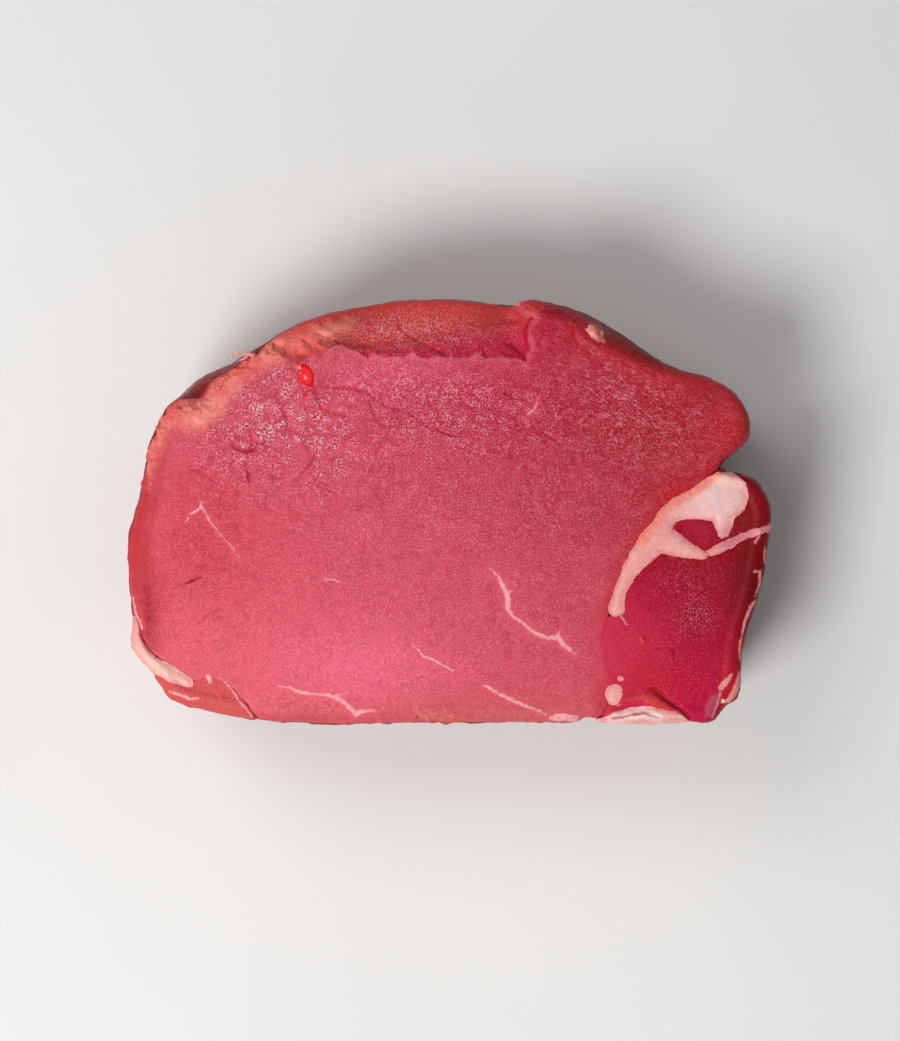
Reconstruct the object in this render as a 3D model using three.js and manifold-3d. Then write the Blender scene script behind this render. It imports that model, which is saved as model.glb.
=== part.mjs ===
// Raw beef tenderloin: a thick piece cut across the grain near the head of the fillet.
// It lies on one cut face with the other cut face up. Millimetres, +Z up; seen from above,
// +X is the right of the upper cut face and +Y is its top, where the torn shelf is.
// Two muscles, the thin strip of a third and the fat between them run right through it.
import * as THREE from 'three';
import { mergeVertices } from 'three/addons/utils/BufferGeometryUtils.js';
import Module from 'manifold-3d';

const wasm = await Module();
wasm.setup();

// Driving dimensions
const thickness = 42; // between the two cut faces, at the rim
const joinGap = 0.3; // between tissues that lie against each other
const rimRound = 1.8; // how far the upper rim rolls over
const footRound = 1.8; // how far the lower rim tucks in
const crown = 1.2; // how much higher the middle of the upper face is than its rim
const waveHeight = 0.45; // long waves left by the knife
const waveRun = { x: 15, y: 11 }; // length of a wave, over 2 pi
const sideSag = 1.1; // how far the side muscle sinks below the eye
const sideHollow = { x: 50, y: -23, across: 13, along: 15 }; // where it sinks most, and how far out
const fatProud = 0.7; // how far cut fat stands above the meat round it
const shelfDrop = 1.2; // step down from the face to the torn shelf
const shelfSlope = 13; // degrees that the shelf falls outwards
const shelfHinge = 31; // y of the line that the shelf tips about
const wallWidest = 0.38; // share of the depth at which the wall stands out most
const footShare = 0.55; // how much of that swelling is left at the foot
const wallRipple = 0.45; // height of the lumps along the wall
const lumps = [
  { round: 9, twist: 2.5, share: 1 },
  { round: 17, twist: -4, share: 0.6 },
]; // lumps round the whole piece, and how far each row turns with depth
const seamLean = 0.09; // sideways run of the seam for each millimetre of depth
const stepsPerPoint = 3; // facets between two points of the rim or of a stroke
const capSteps = 5; // facets of a stroke's round end
const faceRings = [0.22, 0.44, 0.64, 0.8, 0.92, 1]; // shares of the way from the middle to the rim
const wallRings = [0.035, 0.14, 0.3, 0.5, 0.75]; // shares of the depth
const outside = 80; // a distance that clears the meat on every side

// The rim of the upper cut face: x, y, and how far the wall below swells out past the rim.
const grainCentre = new THREE.Vector2(-9.6, -1.6);
const rimPoints = [
  [-63.6, -10.8, 1.4], [-62.6, -21.2, 1.2], [-62.8, -27.2, 1.0], [-58.0, -32.8, 1.0],
  [-55.2, -37.0, 0.9], [-44.0, -40.2, 0.8], [-27.6, -42.0, 0.7], [-5.4, -41.8, 0.7],
  [20.0, -41.8, 0.7], [25.8, -41.8, 0.7], [27.8, -40.4, 0.7], [30.4, -41.6, 0.7],
  [48.4, -41.8, 0.7], [52.8, -41.6, 0.7], [55.4, -38.4, 0.8], [57.6, -37.2, 0.9],
  [58.6, -27.6, 1.2], [61.8, -16.6, 1.4], [63.6, -7.2, 1.4], [64.2, 1.4, 1.2],
  [60.8, 6.4, 0.9], [54.8, 8.2, 0.8], [53.8, 9.4, 0.8], [58.6, 13.4, 0.9],
  [60.2, 16.8, 1.2], [58.8, 21.6, 1.3], [53.4, 26.0, 1.3], [43.4, 28.6, 1.9],
  [32.8, 33.2, 3.6], [25.4, 38.8, 2.5], [17.4, 42.2, 1.1], [15.2, 42.0, 1.0],
  [13.0, 40.6, 2.0], [-1.6, 42.0, 1.2], [-17.0, 40.6, 1.4], [-29.6, 37.2, 1.5],
  [-38.4, 31.4, 1.9], [-45.8, 25.2, 3.5], [-47.4, 21.4, 5.6], [-51.6, 21.0, 3.4],
  [-54.2, 21.0, 1.9], [-57.4, 18.4, 1.9], [-60.0, 8.4, 1.6], [-62.6, -3.6, 1.5],
];

// Fat strokes: x, y and half width along each stroke's middle line.
const seamBand = [
  [55.2, 3.2, 4.8], [51.8, 2.2, 3.9], [49.2, 1.5, 2.8], [46.2, 0.7, 2.2], [44.0, -0.8, 1.9],
  [42.4, -3.6, 2.1], [40.2, -6.7, 2.5], [38.6, -8.9, 2.1], [36.9, -11.1, 1.7],
  [34.4, -15.6, 1.0], [33.6, -19.4, 1.4],
];
const knobTab = [[55.1, -1.0, 1.9], [55.1, -3.2, 1.5], [54.9, -4.2, 0.8]];
const seamBranch = [
  [42.4, -5.6, 2.0], [44.8, -6.4, 2.2], [46.8, -7.1, 1.8], [48.8, -7.9, 1.3], [50.4, -8.5, 0.9],
  [51.8, -8.4, 0.6], [54.2, -7.4, 0.9], [56.0, -6.4, 0.8], [58.0, -5.3, 0.6], [62.6, -3.7, 0.5],
  [67.0, -2.4, 0.5],
];
const seamPlug = [[33.2, -36.1, 1.5], [33.3, -37.1, 1.6]];
const cornerFat = [
  [-63.8, -22.6, 1.8], [-63.2, -26.4, 2.0], [-60.6, -29.6, 1.6], [-57.2, -31.4, 1.3],
  [-54.6, -32.8, 1.2], [-51.8, -34.2, 0.7],
];
const flapFat = [
  [30.4, -42.6, 1.2], [35.6, -41.7, 2.0], [40.4, -41.3, 2.3], [45.0, -42.2, 2.2],
  [48.2, -43.4, 1.4],
];

// Lines where two muscles meet with no fat between them.
const eyeToSide = [
  [33.6, -19.4], [31.4, -22.2], [31.0, -26.0], [31.6, -31.2], [33.2, -36.6], [31.4, -40.2],
  [29.0, -46.0],
];
const eyeToStrip = [
  [-51.8, -34.2], [-48.4, -33.4], [-45.4, -33.4], [-42.8, -35.6], [-40.8, -38.0], [-36.6, -44.0],
];
const seamMiddle = [
  [54.0, 9.0], [53.6, 6.0], [49.2, 1.5], [46.2, 0.7], [44.0, -0.8], [42.4, -3.6], [38.6, -8.9],
  [36.9, -11.1], [34.4, -15.6],
];
const branchMiddle = [
  [52.0, 2.0], [46.2, 0.7], [44.0, -0.8], [42.4, -5.6], [46.8, -7.1], [50.4, -8.5], [51.8, -8.4],
  [54.2, -7.4], [58.0, -5.3], [62.6, -3.7], [67.0, -2.4],
];

// The torn edge of the shelf, from its left end to the fold that closes it on the right.
const shelfEdge = [
  [-42.0, 33.6], [-38.0, 32.2], [-33.2, 31.4], [-30.2, 29.8], [-26.2, 32.6], [-22.4, 33.6],
  [-15.8, 31.2], [-4.0, 31.8], [-2.2, 30.8], [0.0, 32.0], [4.8, 30.4], [6.4, 31.8],
  [8.6, 30.4], [15.8, 29.6], [16.2, 32.8], [15.4, 35.6], [16.6, 38.4], [13.2, 40.4],
];

// Shapes

function prism(shape, lean = 0) {
  const height = 2 * thickness;
  const geometry = new THREE.ExtrudeGeometry(shape, { depth: height, bevelEnabled: false });
  geometry.translate(0, 0, -thickness / 2);
  // prettier-ignore
  const shear = new THREE.Matrix4().set(
    1, 0, lean, -lean * thickness,
    0, 1, 0, 0,
    0, 0, 1, 0,
    0, 0, 0, 1,
  );
  geometry.applyMatrix4(shear);
  return solidOf(geometry);
}

function polygonPrism(points, lean = 0) {
  return prism(new THREE.Shape(points.map(([x, y]) => new THREE.Vector2(x, y))), lean);
}

// A stroke with round ends; its half width runs along the curve as the third coordinate.
function strokePrism(points, extra = 0, lean = 0) {
  const curve = new THREE.CatmullRomCurve3(
    points.map(([x, y, halfWidth]) => new THREE.Vector3(x, y, halfWidth + extra)),
    false,
    'centripetal',
  );
  const steps = (points.length - 1) * stepsPerPoint;
  const left = [];
  const right = [];
  for (let i = 0; i <= steps; i += 1) {
    const at = curve.getPoint(i / steps);
    const along = curve.getTangent(i / steps);
    const across = new THREE.Vector2(-along.y, along.x).normalize().multiplyScalar(at.z);
    left.push(new THREE.Vector2(at.x + across.x, at.y + across.y));
    right.push(new THREE.Vector2(at.x - across.x, at.y - across.y));
  }
  const outline = [...left, ...cap(left.at(-1), right.at(-1)), ...right.reverse()];
  outline.push(...cap(outline.at(-1), left[0]));
  return prism(new THREE.Shape(outline), lean);
}

// Points of the half circle that closes a stroke, clockwise from one corner to the other.
function cap(from, to) {
  const middle = from.clone().add(to).multiplyScalar(0.5);
  const points = [];
  for (let i = 1; i < capSteps; i += 1) {
    points.push(from.clone().rotateAround(middle, (-Math.PI * i) / capSteps));
  }
  return points;
}

// The kerf between two muscles that meet directly.
function kerf(points, lean = 0) {
  return strokePrism(points.map(([x, y]) => [x, y, joinGap]), 0, lean);
}

function solidOf(geometry) {
  geometry.deleteAttribute('normal');
  geometry.deleteAttribute('uv');
  const merged = mergeVertices(geometry, 1e-4);
  const mesh = new wasm.Mesh({
    numProp: 3,
    vertProperties: new Float32Array(merged.attributes.position.array),
    triVerts: new Uint32Array(merged.index.array),
  });
  return new wasm.Manifold(mesh);
}

// Height of the upper face; inward is 0 at the rim and 1 in the middle.
function faceHeight(x, y, inward) {
  const dome = crown * (1 - (1 - inward) ** 2);
  const waves = waveHeight * Math.sin(x / waveRun.x + 0.6) * Math.cos(y / waveRun.y - 0.4);
  const across = (x - sideHollow.x) / sideHollow.across;
  const along = (y - sideHollow.y) / sideHollow.along;
  const side = Math.exp(-(across ** 2) - along ** 2);
  return thickness + dome + waves * Math.min(1, 3 * inward) - sideSag * side * inward ** 0.3;
}

// How far the wall stands out at a share of the depth, from 0 at the rim to 1 at the foot.
function wallSwell(depth) {
  if (depth < wallWidest) return 1 - ((wallWidest - depth) / wallWidest) ** 2;
  return 1 - (1 - footShare) * ((depth - wallWidest) / (1 - wallWidest)) ** 2;
}

// Low lumps along the wall, which fade out towards both rims.
function lump(point, depth) {
  const angle = Math.atan2(point.y - grainCentre.y, point.x - grainCentre.x);
  const row = ({ round, twist, share }) => share * Math.sin(round * angle + twist * depth);
  const bands = lumps.reduce((sum, lumpRow) => sum + row(lumpRow), 0);
  return wallRipple * bands * Math.sin(Math.PI * depth) ** 2;
}

// The whole piece before it is parted into its tissues. Rings run from the middle of the
// upper face over the rim, down the wall and under the foot.
function wholePiece(lift = 0) {
  const rim = new THREE.CatmullRomCurve3(
    rimPoints.map((point) => new THREE.Vector3(...point)),
    true,
    'centripetal',
  ).getPoints(rimPoints.length * stepsPerPoint);
  rim.pop();

  const ring = (scale, reach, height) =>
    rim.map((point) => {
      const spoke = new THREE.Vector2(point.x, point.y).sub(grainCentre);
      const length = spoke.length() * scale + reach(point);
      const at = spoke.setLength(length).add(grainCentre);
      return new THREE.Vector3(at.x, at.y, height(at));
    });
  const faceRing = (scale) =>
    ring(scale, () => -rimRound * scale, (at) => faceHeight(at.x, at.y, 1 - scale) + lift);
  const wallRing = (z, inset) => {
    const depth = (thickness - z) / thickness;
    const reach = (point) => point.z * wallSwell(depth) + lump(point, depth) - inset;
    return ring(1, reach, () => z);
  };

  const rings = faceRings.map(faceRing);
  const shoulder = Math.PI / 4;
  rings.push(
    wallRing(thickness - rimRound * (1 - Math.sin(shoulder)), rimRound * (1 - Math.cos(shoulder))),
  );
  for (const depth of wallRings) {
    rings.push(wallRing(thickness * (1 - depth), 0));
  }
  rings.push(wallRing(footRound, 0), wallRing(footRound * 0.3, footRound * 0.3));
  rings.push(wallRing(0, footRound));

  const top = new THREE.Vector3(...grainCentre, faceHeight(...grainCentre, 1) + lift);
  const bottom = new THREE.Vector3(...grainCentre, 0);
  return solidOf(skin(rings, top, bottom));
}

// Triangles over rings of equal count, closed at both ends by a fan.
function skin(rings, top, bottom) {
  const count = rings[0].length;
  const triangles = [];
  for (let i = 0; i < count; i += 1) {
    const next = (i + 1) % count;
    triangles.push(top, rings[0][i], rings[0][next]);
    for (let k = 1; k < rings.length; k += 1) {
      const [upper, lower] = [rings[k - 1], rings[k]];
      triangles.push(upper[i], lower[i], lower[next]);
      triangles.push(upper[i], lower[next], upper[next]);
    }
    triangles.push(bottom, rings.at(-1)[next], rings.at(-1)[i]);
  }
  return new THREE.BufferGeometry().setFromPoints(triangles);
}

// The space above the torn shelf: its floor falls outwards from the torn edge.
function shelfSpace() {
  const [first, last] = [shelfEdge[0], shelfEdge.at(-1)];
  const points = [...shelfEdge, [last[0], outside], [first[0], outside]];
  const shape = new THREE.Shape(points.map(([x, y]) => new THREE.Vector2(x, y - shelfHinge)));
  const geometry = new THREE.ExtrudeGeometry(shape, { depth: thickness, bevelEnabled: false });
  geometry.rotateX(THREE.MathUtils.degToRad(-shelfSlope));
  geometry.translate(0, shelfHinge, thickness - shelfDrop);
  return solidOf(geometry);
}

// Tissues

const seamFatSpace = (extra) =>
  [knobTab, seamBranch].reduce(
    (space, stroke) => space.add(strokePrism(stroke, extra, seamLean)),
    strokePrism(seamBand, extra, seamLean),
  );
const plugSpace = (extra) => strokePrism(seamPlug, extra, seamLean);
const cornerSpace = (extra) => strokePrism(cornerFat, extra);
const flapSpace = (extra) => strokePrism(flapFat, extra);
const rightSide = polygonPrism(
  [...seamMiddle, ...eyeToSide, [outside, -outside], [outside, 9]],
  seamLean,
);
const aboveBranch = polygonPrism(
  [[54, 30], ...branchMiddle, [outside, 4], [outside, 30]],
  seamLean,
);
const lowerLeft = polygonPrism(
  [...eyeToStrip, [-outside, -outside], [-outside, -27], ...cornerFat.slice(1, -1)],
);

const whole = wholePiece();
const fatWhole = wholePiece(fatProud);
const meat = whole
  .subtract(shelfSpace())
  .subtract(seamFatSpace(joinGap))
  .subtract(plugSpace(joinGap))
  .subtract(cornerSpace(joinGap))
  .subtract(flapSpace(joinGap));
const sideMeat = meat.intersect(rightSide);

const eyeMuscle = meat
  .subtract(rightSide)
  .subtract(kerf(eyeToSide, seamLean))
  .subtract(lowerLeft)
  .subtract(kerf(eyeToStrip));

const tissues = {
  eye_muscle: [eyeMuscle, 0xcb4658, 0.45],
  side_muscle: [sideMeat.subtract(aboveBranch), 0xa81f3c, 0.38],
  side_muscle_tip: [sideMeat.intersect(aboveBranch), 0xa8273f, 0.38],
  strip_muscle: [meat.intersect(lowerLeft), 0xc04a52, 0.45],
  seam_fat: [fatWhole.intersect(seamFatSpace(0)), 0xeeb4b0, 0.5],
  seam_fat_plug: [fatWhole.intersect(plugSpace(0)), 0xeba09d, 0.5],
  corner_fat: [fatWhole.intersect(cornerSpace(0)), 0xe9a8a2, 0.5],
  flap_fat: [fatWhole.intersect(flapSpace(0)), 0xeab9b4, 0.5],
};

const piece = new THREE.Group();
for (const [name, [solid, color, roughness]] of Object.entries(tissues)) {
  const { vertProperties, triVerts } = solid.getMesh();
  const geometry = new THREE.BufferGeometry();
  geometry.setAttribute('position', new THREE.BufferAttribute(vertProperties, 3));
  geometry.setIndex(new THREE.BufferAttribute(triVerts, 1));
  const material = new THREE.MeshStandardMaterial({ color, roughness, metalness: 0 });
  const mesh = new THREE.Mesh(geometry, material);
  mesh.name = name;
  piece.add(mesh);
}

// The origin is under the middle of the whole piece, on the surface that it lies on.
const box = new THREE.Box3().setFromObject(piece);
const middle = box.getCenter(new THREE.Vector3());
piece.position.set(-middle.x, -middle.y, -box.min.z);
piece.updateMatrixWorld(true);

export default piece;
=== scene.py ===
import math

import bmesh
import bpy
import numpy as np
from mathutils import Matrix, Vector
from mathutils.bvhtree import BVHTree


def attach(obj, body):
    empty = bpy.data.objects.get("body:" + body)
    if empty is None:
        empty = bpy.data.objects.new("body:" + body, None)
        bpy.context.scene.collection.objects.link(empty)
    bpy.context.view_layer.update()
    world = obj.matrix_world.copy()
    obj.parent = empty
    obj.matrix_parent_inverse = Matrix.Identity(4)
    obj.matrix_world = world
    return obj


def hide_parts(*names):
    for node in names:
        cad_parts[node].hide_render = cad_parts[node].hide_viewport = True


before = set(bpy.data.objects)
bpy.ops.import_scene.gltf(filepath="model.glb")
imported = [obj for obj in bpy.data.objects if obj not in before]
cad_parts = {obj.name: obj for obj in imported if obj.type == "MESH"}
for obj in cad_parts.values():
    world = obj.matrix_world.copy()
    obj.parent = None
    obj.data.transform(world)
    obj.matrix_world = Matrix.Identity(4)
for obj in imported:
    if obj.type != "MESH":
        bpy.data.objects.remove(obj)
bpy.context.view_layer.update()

# Raw beef tenderloin, a thick piece cut across the grain, seen from straight above.
# Lengths in the dictionaries are millimetres in the frame of the solids; Blender gets metres.

metre = 0.001
print("frame loaded:", len(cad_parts), "solids")

camera = {
    "height": 500.0,  # above the upper cut face
    "aim": (-0.11, -1.93),
    "framedHeight": 208.2,  # what the long side of the picture takes in
    "sensor": 36.0,
}
cut = {
    "thickness": 42.0,  # height of the upper cut face at its rim
    "middle": (-10.1, -1.8),  # the rim's points are put in order round this
    "shoulder": 41.47,  # height of the ring of points halfway round the rim
    "faceFrom": 36.0,  # the upper cut face lies above this
    "rimFrom": 38.0,  # and its rim above this
    "shelfDrop": 1.2,  # how far the torn shelf lies below the face
    "shelfSlope": 13.0,  # degrees, falling outwards
    "shelfHinge": 30.8,  # y where the slope starts
}
faceGrid = {  # where the heights of the upper face are read
    "low": (-70.0, -48.0),
    "size": (140.0, 96.0),
    "step": 0.6,
    "blur": 3.0,
    "rimGap": 2.6,  # only this far inside the rim
    "tearGap": 0.8,  # and this far from the torn edge
    "deepest": 3.0,  # what lies further down isn't the face
}

# Features of the upper cut face, as paths of x, y and half width.
veins = [  # white marbling, and a painted highlight on the blood spot
    [(7.9, -11.4, .08), (9.7, -13.2, .24), (10.4, -14.8, .42), (11.5, -17, .52), (11.5, -19.6, .42),
     (12.3, -20.8, .24), (14.7, -22.6, .24), (16.9, -24.4, .34), (19.5, -25.4, .38), (21.5, -25.2, .52),
     (22.7, -26.8, .44), (24.9, -28.6, .14)],
    [(21.1, -25.2, .3), (21.8, -24, .08)],
    [(11.3, -16.4, .3), (12.3, -15.9, .08)],
    [(-34.3, -35, .1), (-32.1, -35.2, .26), (-30.1, -36.2, .32), (-26.9, -36.6, .2), (-24.1, -36.8, .34),
     (-22.1, -37.6, .42), (-19.9, -39.4, .38), (-18.9, -40.6, .56), (-17.1, -40, .28), (-14.9, -40, .08)],
    [(-23.5, -37, .2), (-21.7, -36.6, .14), (-19.9, -36.2, .06)],
    [(-7.5, -26.8, .06), (-5.3, -29, .24), (-3.7, -29.6, .18), (-1.9, -30.6, .2), (.7, -32, .1)],
    [(6.7, -34.8, .1), (7.9, -35.4, .34), (9.7, -36.6, .22), (11.9, -37.6, .38), (14.7, -38.8, .26),
     (16.9, -39.6, .18), (19.3, -40.8, .22)],
    [(-49.7, 2, .04), (-49.9, .8, .36), (-49.1, -.2, .2), (-47.7, -2.6, .08), (-45.7, -5, .02),
     (-43.3, -7.6, .12), (-41.9, -9.6, 0)],
    [(-50.3, .4, .28), (-51.9, -.6, .1), (-52.7, -2, .02)],
    [(-47, -33.2, .05), (-45.5, -33.7, .1), (-43.9, -35.4, .14), (-42.9, -36.7, .18), (-42.3, -38, .08),
     (-41, -39.2, .14), (-39.7, -41.2, .1)],
    [(-48.4, -33, .42), (-48, -34, .42)],
    [(-56.2, -36, .1), (-54, -36.8, .28), (-52, -37.6, .3), (-50.4, -37.4, .12)],
    [(-63.5, -17.4, .1), (-63, -20.4, .28), (-61.7, -23.4, .15)],
    # painted highlight on the blood spot, drawn as a pale vein
    [(-29.1, 27, .16), (-28.9, 26.5, .1)],
    [(-25.3, -13.6, .05), (-23.7, -13.8, .16), (-21.9, -14.2, .1)],
    [(15.5, 19.2, .1), (16.7, 20.2, .2), (17.4, 21.7, .06)],
    [(20.2, -41.4, .5), (22.6, -41.2, .8), (25, -41.6, .6)],
    [(33.9, -33.5, .45), (34.3, -33.7, .3)],
]
slits = [  # short cuts that gape a little
    [(-52.6, -14.4, 0), (-51.3, -13.8, .1), (-49.7, -13.2, .06)],
    [(-41.5, 11.8, .06), (-40.5, 11.9, .2), (-39.3, 12.2, .05)],
    [(-40.5, 8, .04), (-40.4, 6.2, .14), (-40.1, 5.6, .04)],
    [(-1.5, 15.6, .06), (.1, 15, .14), (1.9, 14.7, .05)],
    [(10.7, 23.6, .06), (11.5, 23, .16), (12.6, 22.3, .05)],
    [(-24, -14, .04), (-23, -14.1, .07)],
]
grooves = [  # soft dark lines between bundles, and painted shade in the crease beside the fold and in the shelf's crevice
    [(-27.4, 25, .15), (-26.5, 22.4, .2), (-25.9, 20.6, .15), (-23.3, 19.4, .2), (-20.9, 18.8, .15),
     (-19.7, 18.4, 0)],
    [(-27.4, 25, .1), (-22.5, 24.6, .15), (-18.7, 24.3, .2), (-16.5, 23.7, .2), (-15, 22.2, .15),
     (-11.9, 20.6, .2), (-8.1, 19.4, .1), (-4.6, 16.8, .15), (-1.5, 15.6, .1)],
    [(-16.5, 23.7, .1), (-15.9, 20.9, .15), (-14.4, 17.5, .15), (-11.9, 16.6, 0)],
    [(-45, 15.6, .1), (-43.1, 12.6, .25), (-41.3, 12, .25), (-38.8, 12.6, .2), (-36.9, 13.8, .1),
     (-36.1, 14.4, 0)],
    [(-30.5, 6.4, .1), (-29.3, 8, .2), (-27.7, 9.8, .15), (-26.5, 12.4, 0)],
    [(-40.4, 16.9, .05), (-39.7, 14.4, .2), (-39.7, 12.6, .1)],
    [(-40.6, 11.6, .1), (-40.9, 9.6, .2), (-40.5, 7, .1)],
    [(-52.1, 8.2, .1), (-50.3, 8, .2), (-48.4, 6.7, .1), (-45.2, 4.6, 0)],
    [(18.6, 15.6, .1), (20.5, 14.3, .2), (22.3, 13, 0)],
    [(-55.5, -15.6, 0), (-53.5, -14.6, .15), (-51.3, -13.8, .1)],
    [(-46.2, -19.4, 0), (-48.4, -20.8, .1), (-50.4, -22.6, 0)],
    [(2.6, 22, 0), (5.4, 19.6, .15), (8.2, 18.8, 0)],
    [(26, 20.6, 0), (29.4, 18.6, .15), (33, 17.8, 0)],
    [(-34, 21, 0), (-32.6, 18, .15), (-33, 15.4, 0)],
    [(43.5, 7.2, 0), (46, 6.6, .2), (48.2, 6.4, .2), (49.6, 7.2, .1)],
    [(-10.7, 39.2, .05), (-10.2, 36.6, .15), (-7.7, 34.6, .2), (-3.6, 32.6, .2), (-1.1, 31.3, .1)],
    [(-21.3, 33.3, 0), (-16.8, 31.3, .2), (-16.3, 30.6, .1)],
    # painted shade: the crease beside the fold
    [(16.3, 38.4, .3), (15.3, 36.4, .4), (15.1, 33.8, .3), (15.8, 32, .3)],
    # painted shade: the shelf's crevice
    [(10.9, 33.8, .1), (12.9, 32.8, .4), (14.3, 31.6, .4), (15.3, 30.2, .1)],
    [(25.6, 33, .1), (24.9, 34.4, .2), (24.6, 36.8, .1)],
]
membranes = [  # thin pale skin along the rim of the side muscle
    [(63.4, -1.8, .25), (63.2, -3.2, .4), (63.7, -4.4, .3)],
    [(60.9, -6.4, .15), (63.2, -2.4, .12)],
    [(62.9, -7.2, .1), (62.9, -10.4, .1)],
    [(60.7, -12.2, .12), (61.9, -12, .15), (61.9, -14.6, .2), (60.9, -17.2, .05)],
    [(61.1, -18, .15), (60.1, -19.2, .3), (58.9, -22.2, .25), (58.3, -25, .12), (57.9, -27.4, .25),
     (58, -30, .1)],
    [(57.9, -32.4, .3), (57.5, -34.4, .5), (56.7, -36.4, .55), (55.6, -38, .4)],
    [(32.9, -19.8, .08), (34.3, -21.2, .1), (35.3, -22.8, .02)],
    [(54, -36.2, .1), (53.3, -38.8, .15), (52.4, -41.2, .1)],
    [(56.2, -32.8, .2), (55.3, -34, .45), (54.1, -35.4, .5)],
    [(50.2, 2.6, .05), (53, 5.2, .1), (54, 6.8, .1)],
    [(60.6, 6.6, .1), (63.2, 3.6, .15), (63.6, .6, .1)],
]
silverPatch = [(54, -36.2), (53.3, -38.6), (52.6, -41), (50.8, -41.6), (50.9, -39.4), (51.9, -37.2)]
orangeRim = [  # dried torn tissue along the upper left rim
    [(-60.6, 4.2, .3), (-59.6, 12.2, 1.6), (-57.9, 18.2, 3), (-54.7, 19.6, 3.4), (-50.9, 18.6, 3),
     (-47.9, 20.4, 3), (-45.7, 24.2, 3), (-42.9, 27.4, 2.8), (-38.9, 30.2, 2.6), (-34, 32.2, 2.8),
     (-31.4, 33.4, 2.6), (-26, 35.2, 2.2), (-20, 38, 1.2)],
]
orangeNubs = [
    [(-6.5, -40.6, .3), (-4.9, -41.2, .6)],
    [(-3.1, -41.4, .3), (-1.9, -41.2, .5), (-.3, -41.4, .4)],
    [(38.4, -25.5, .35), (38.7, -25.8, .3)],
]
flapLip = [(31.5, -38.6, .2), (34.7, -37.8, .6), (38.7, -37.2, 1), (42.3, -38.8, 1.2), (45.4, -40.8, .8),
    (47.2, -42.6, .3)]
sideFolds = [  # creases of the side muscle; their darkening is painted shade
    [(39.9, -35.8, .1), (40.7, -35.7, .3), (41.9, -36.6, .4), (43.1, -37.6, .4), (44.5, -38.7, .35),
     (45.9, -39.4, .3), (46.9, -40.4, .25), (47.7, -41.6, .2)],
    [(43.5, -26.8, .05), (44.9, -28.2, .2), (44.7, -29.8, .05)],
    [(46.9, -21.6, 0), (48.3, -24.2, .1), (49.9, -25.2, 0)],
]
fatCreases = [
    [(32.3, -41.7, .05), (34.5, -41.2, .2), (36.9, -40.6, .2), (38.7, -40.2, .1), (39.9, -40.8, .15),
     (41.5, -41.4, .05)],
    [(53.3, -6.3, .05), (55.3, -5.5, .15), (57.3, -4.7, .05)],
    [(51, -8, .1), (51.8, -9.2, .1)],
]
bloodSpot = [(-30.8, 29.6), (-29.9, 29.2), (-28.9, 29.4), (-28, 28.6), (-27.4, 27.6), (-27.2, 25.8),
    (-27.5, 24.9), (-28.3, 24.6), (-29.2, 25.2), (-30.2, 25.5), (-30.6, 26.2), (-30.3, 28)]
tornEdge = [(-42.5, 33.4), (-38.5, 32), (-33.7, 31.2), (-30.7, 29.8), (-27.4, 31.3), (-22.9, 33),
    (-21.3, 33.3), (-17.8, 31.8), (-16.5, 31), (-14.7, 31.3), (-10.7, 31), (-8.1, 31.3), (-4.6, 31.1),
    (-3.1, 30.5), (-.1, 31.3), (1.5, 30.8), (4.5, 31.3), (6.3, 31.8), (7.5, 30.8), (9.6, 31), (12.6, 30.8),
    (15.1, 29.9), (15.7, 32.4), (15.3, 35.4), (16.3, 38.4), (13.3, 39.8), (13.3, 41.8)]
shelfOutline = tornEdge + [(13.3, 60.0), (-42.5, 60.0)]
sideLine = [(33.1, -19.6), (30.9, -22.4), (30.5, -26.2), (31.1, -31.4), (32.7, -36.8), (30.9, -40.4),
    (28.5, -46.2)]


# Points and paths

def readVectors(items, name, width=3):
    values = np.empty(len(items) * width)
    items.foreach_get(name, values)
    return values.reshape(-1, width)


def pointsOf(mesh):  # in millimetres
    return readVectors(mesh.vertices, "co") / metre


def movePoints(mesh, points):
    mesh.vertices.foreach_set("co", (points * metre).ravel())
    mesh.update()


def edgesOf(mesh):
    return readVectors(mesh.edges, "vertices", 2).astype(int)


def normalsOf(mesh):
    return readVectors(mesh.vertices, "normal")


def smoothStep(low, high, values):
    share = np.clip((values - low) / (high - low), 0, 1)
    return share * share * (3 - 2 * share)


def segmentDistance(points, starts, ends):
    # distance from each point to the nearest of many edges, less the half width there
    best = np.full(len(points), 1e9)
    for start, end in zip(starts, ends):
        run = end[:2] - start[:2]
        along = np.clip((points[:, :2] - start[:2]) @ run / max(run @ run, 1e-9), 0, 1)
        near = start[:2] + along[:, None] * run
        width = start[2] + along * (end[2] - start[2])
        best = np.minimum(best, np.hypot(*(points[:, :2] - near).T) - width)
    return best


def lineDistance(points, path, closed=False):
    path = np.array([tuple(p) + (0.0,) * (3 - len(p)) for p in path])
    if closed:
        return segmentDistance(points, path, np.roll(path, -1, 0))
    return segmentDistance(points, path[:-1], path[1:])


def pathsDistance(points, paths):
    return np.min([lineDistance(points, path) for path in paths], 0)


def insideOutline(points, outline):
    inside = np.zeros(len(points), bool)
    for (x0, y0), (x1, y1) in zip(outline, outline[1:] + outline[:1]):
        crosses = (y0 > points[:, 1]) != (y1 > points[:, 1])
        level = (x1 - x0) * (points[:, 1] - y0) / ((y1 - y0) or 1e-9) + x0
        inside ^= crosses & (points[:, 0] < level)
    return inside


def outlineDistance(points, outline):  # negative inside
    distance = lineDistance(points, outline, closed=True)
    return np.where(insideOutline(points, outline), -distance, distance)


def zone(points, places):
    # strongest of several soft ellipses: x, y, half length, half width, turn in degrees, strength
    total = np.zeros(len(points))
    for x, y, length, width, turn, strength in places:
        angle = math.radians(turn)
        right, up = points[:, 0] - x, points[:, 1] - y
        u = (right * math.cos(angle) + up * math.sin(angle)) / length
        v = (up * math.cos(angle) - right * math.sin(angle)) / width
        share = np.exp(-u * u - v * v)
        total = np.where(abs(strength) * share > abs(total), strength * share, total)
    return total


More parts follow.
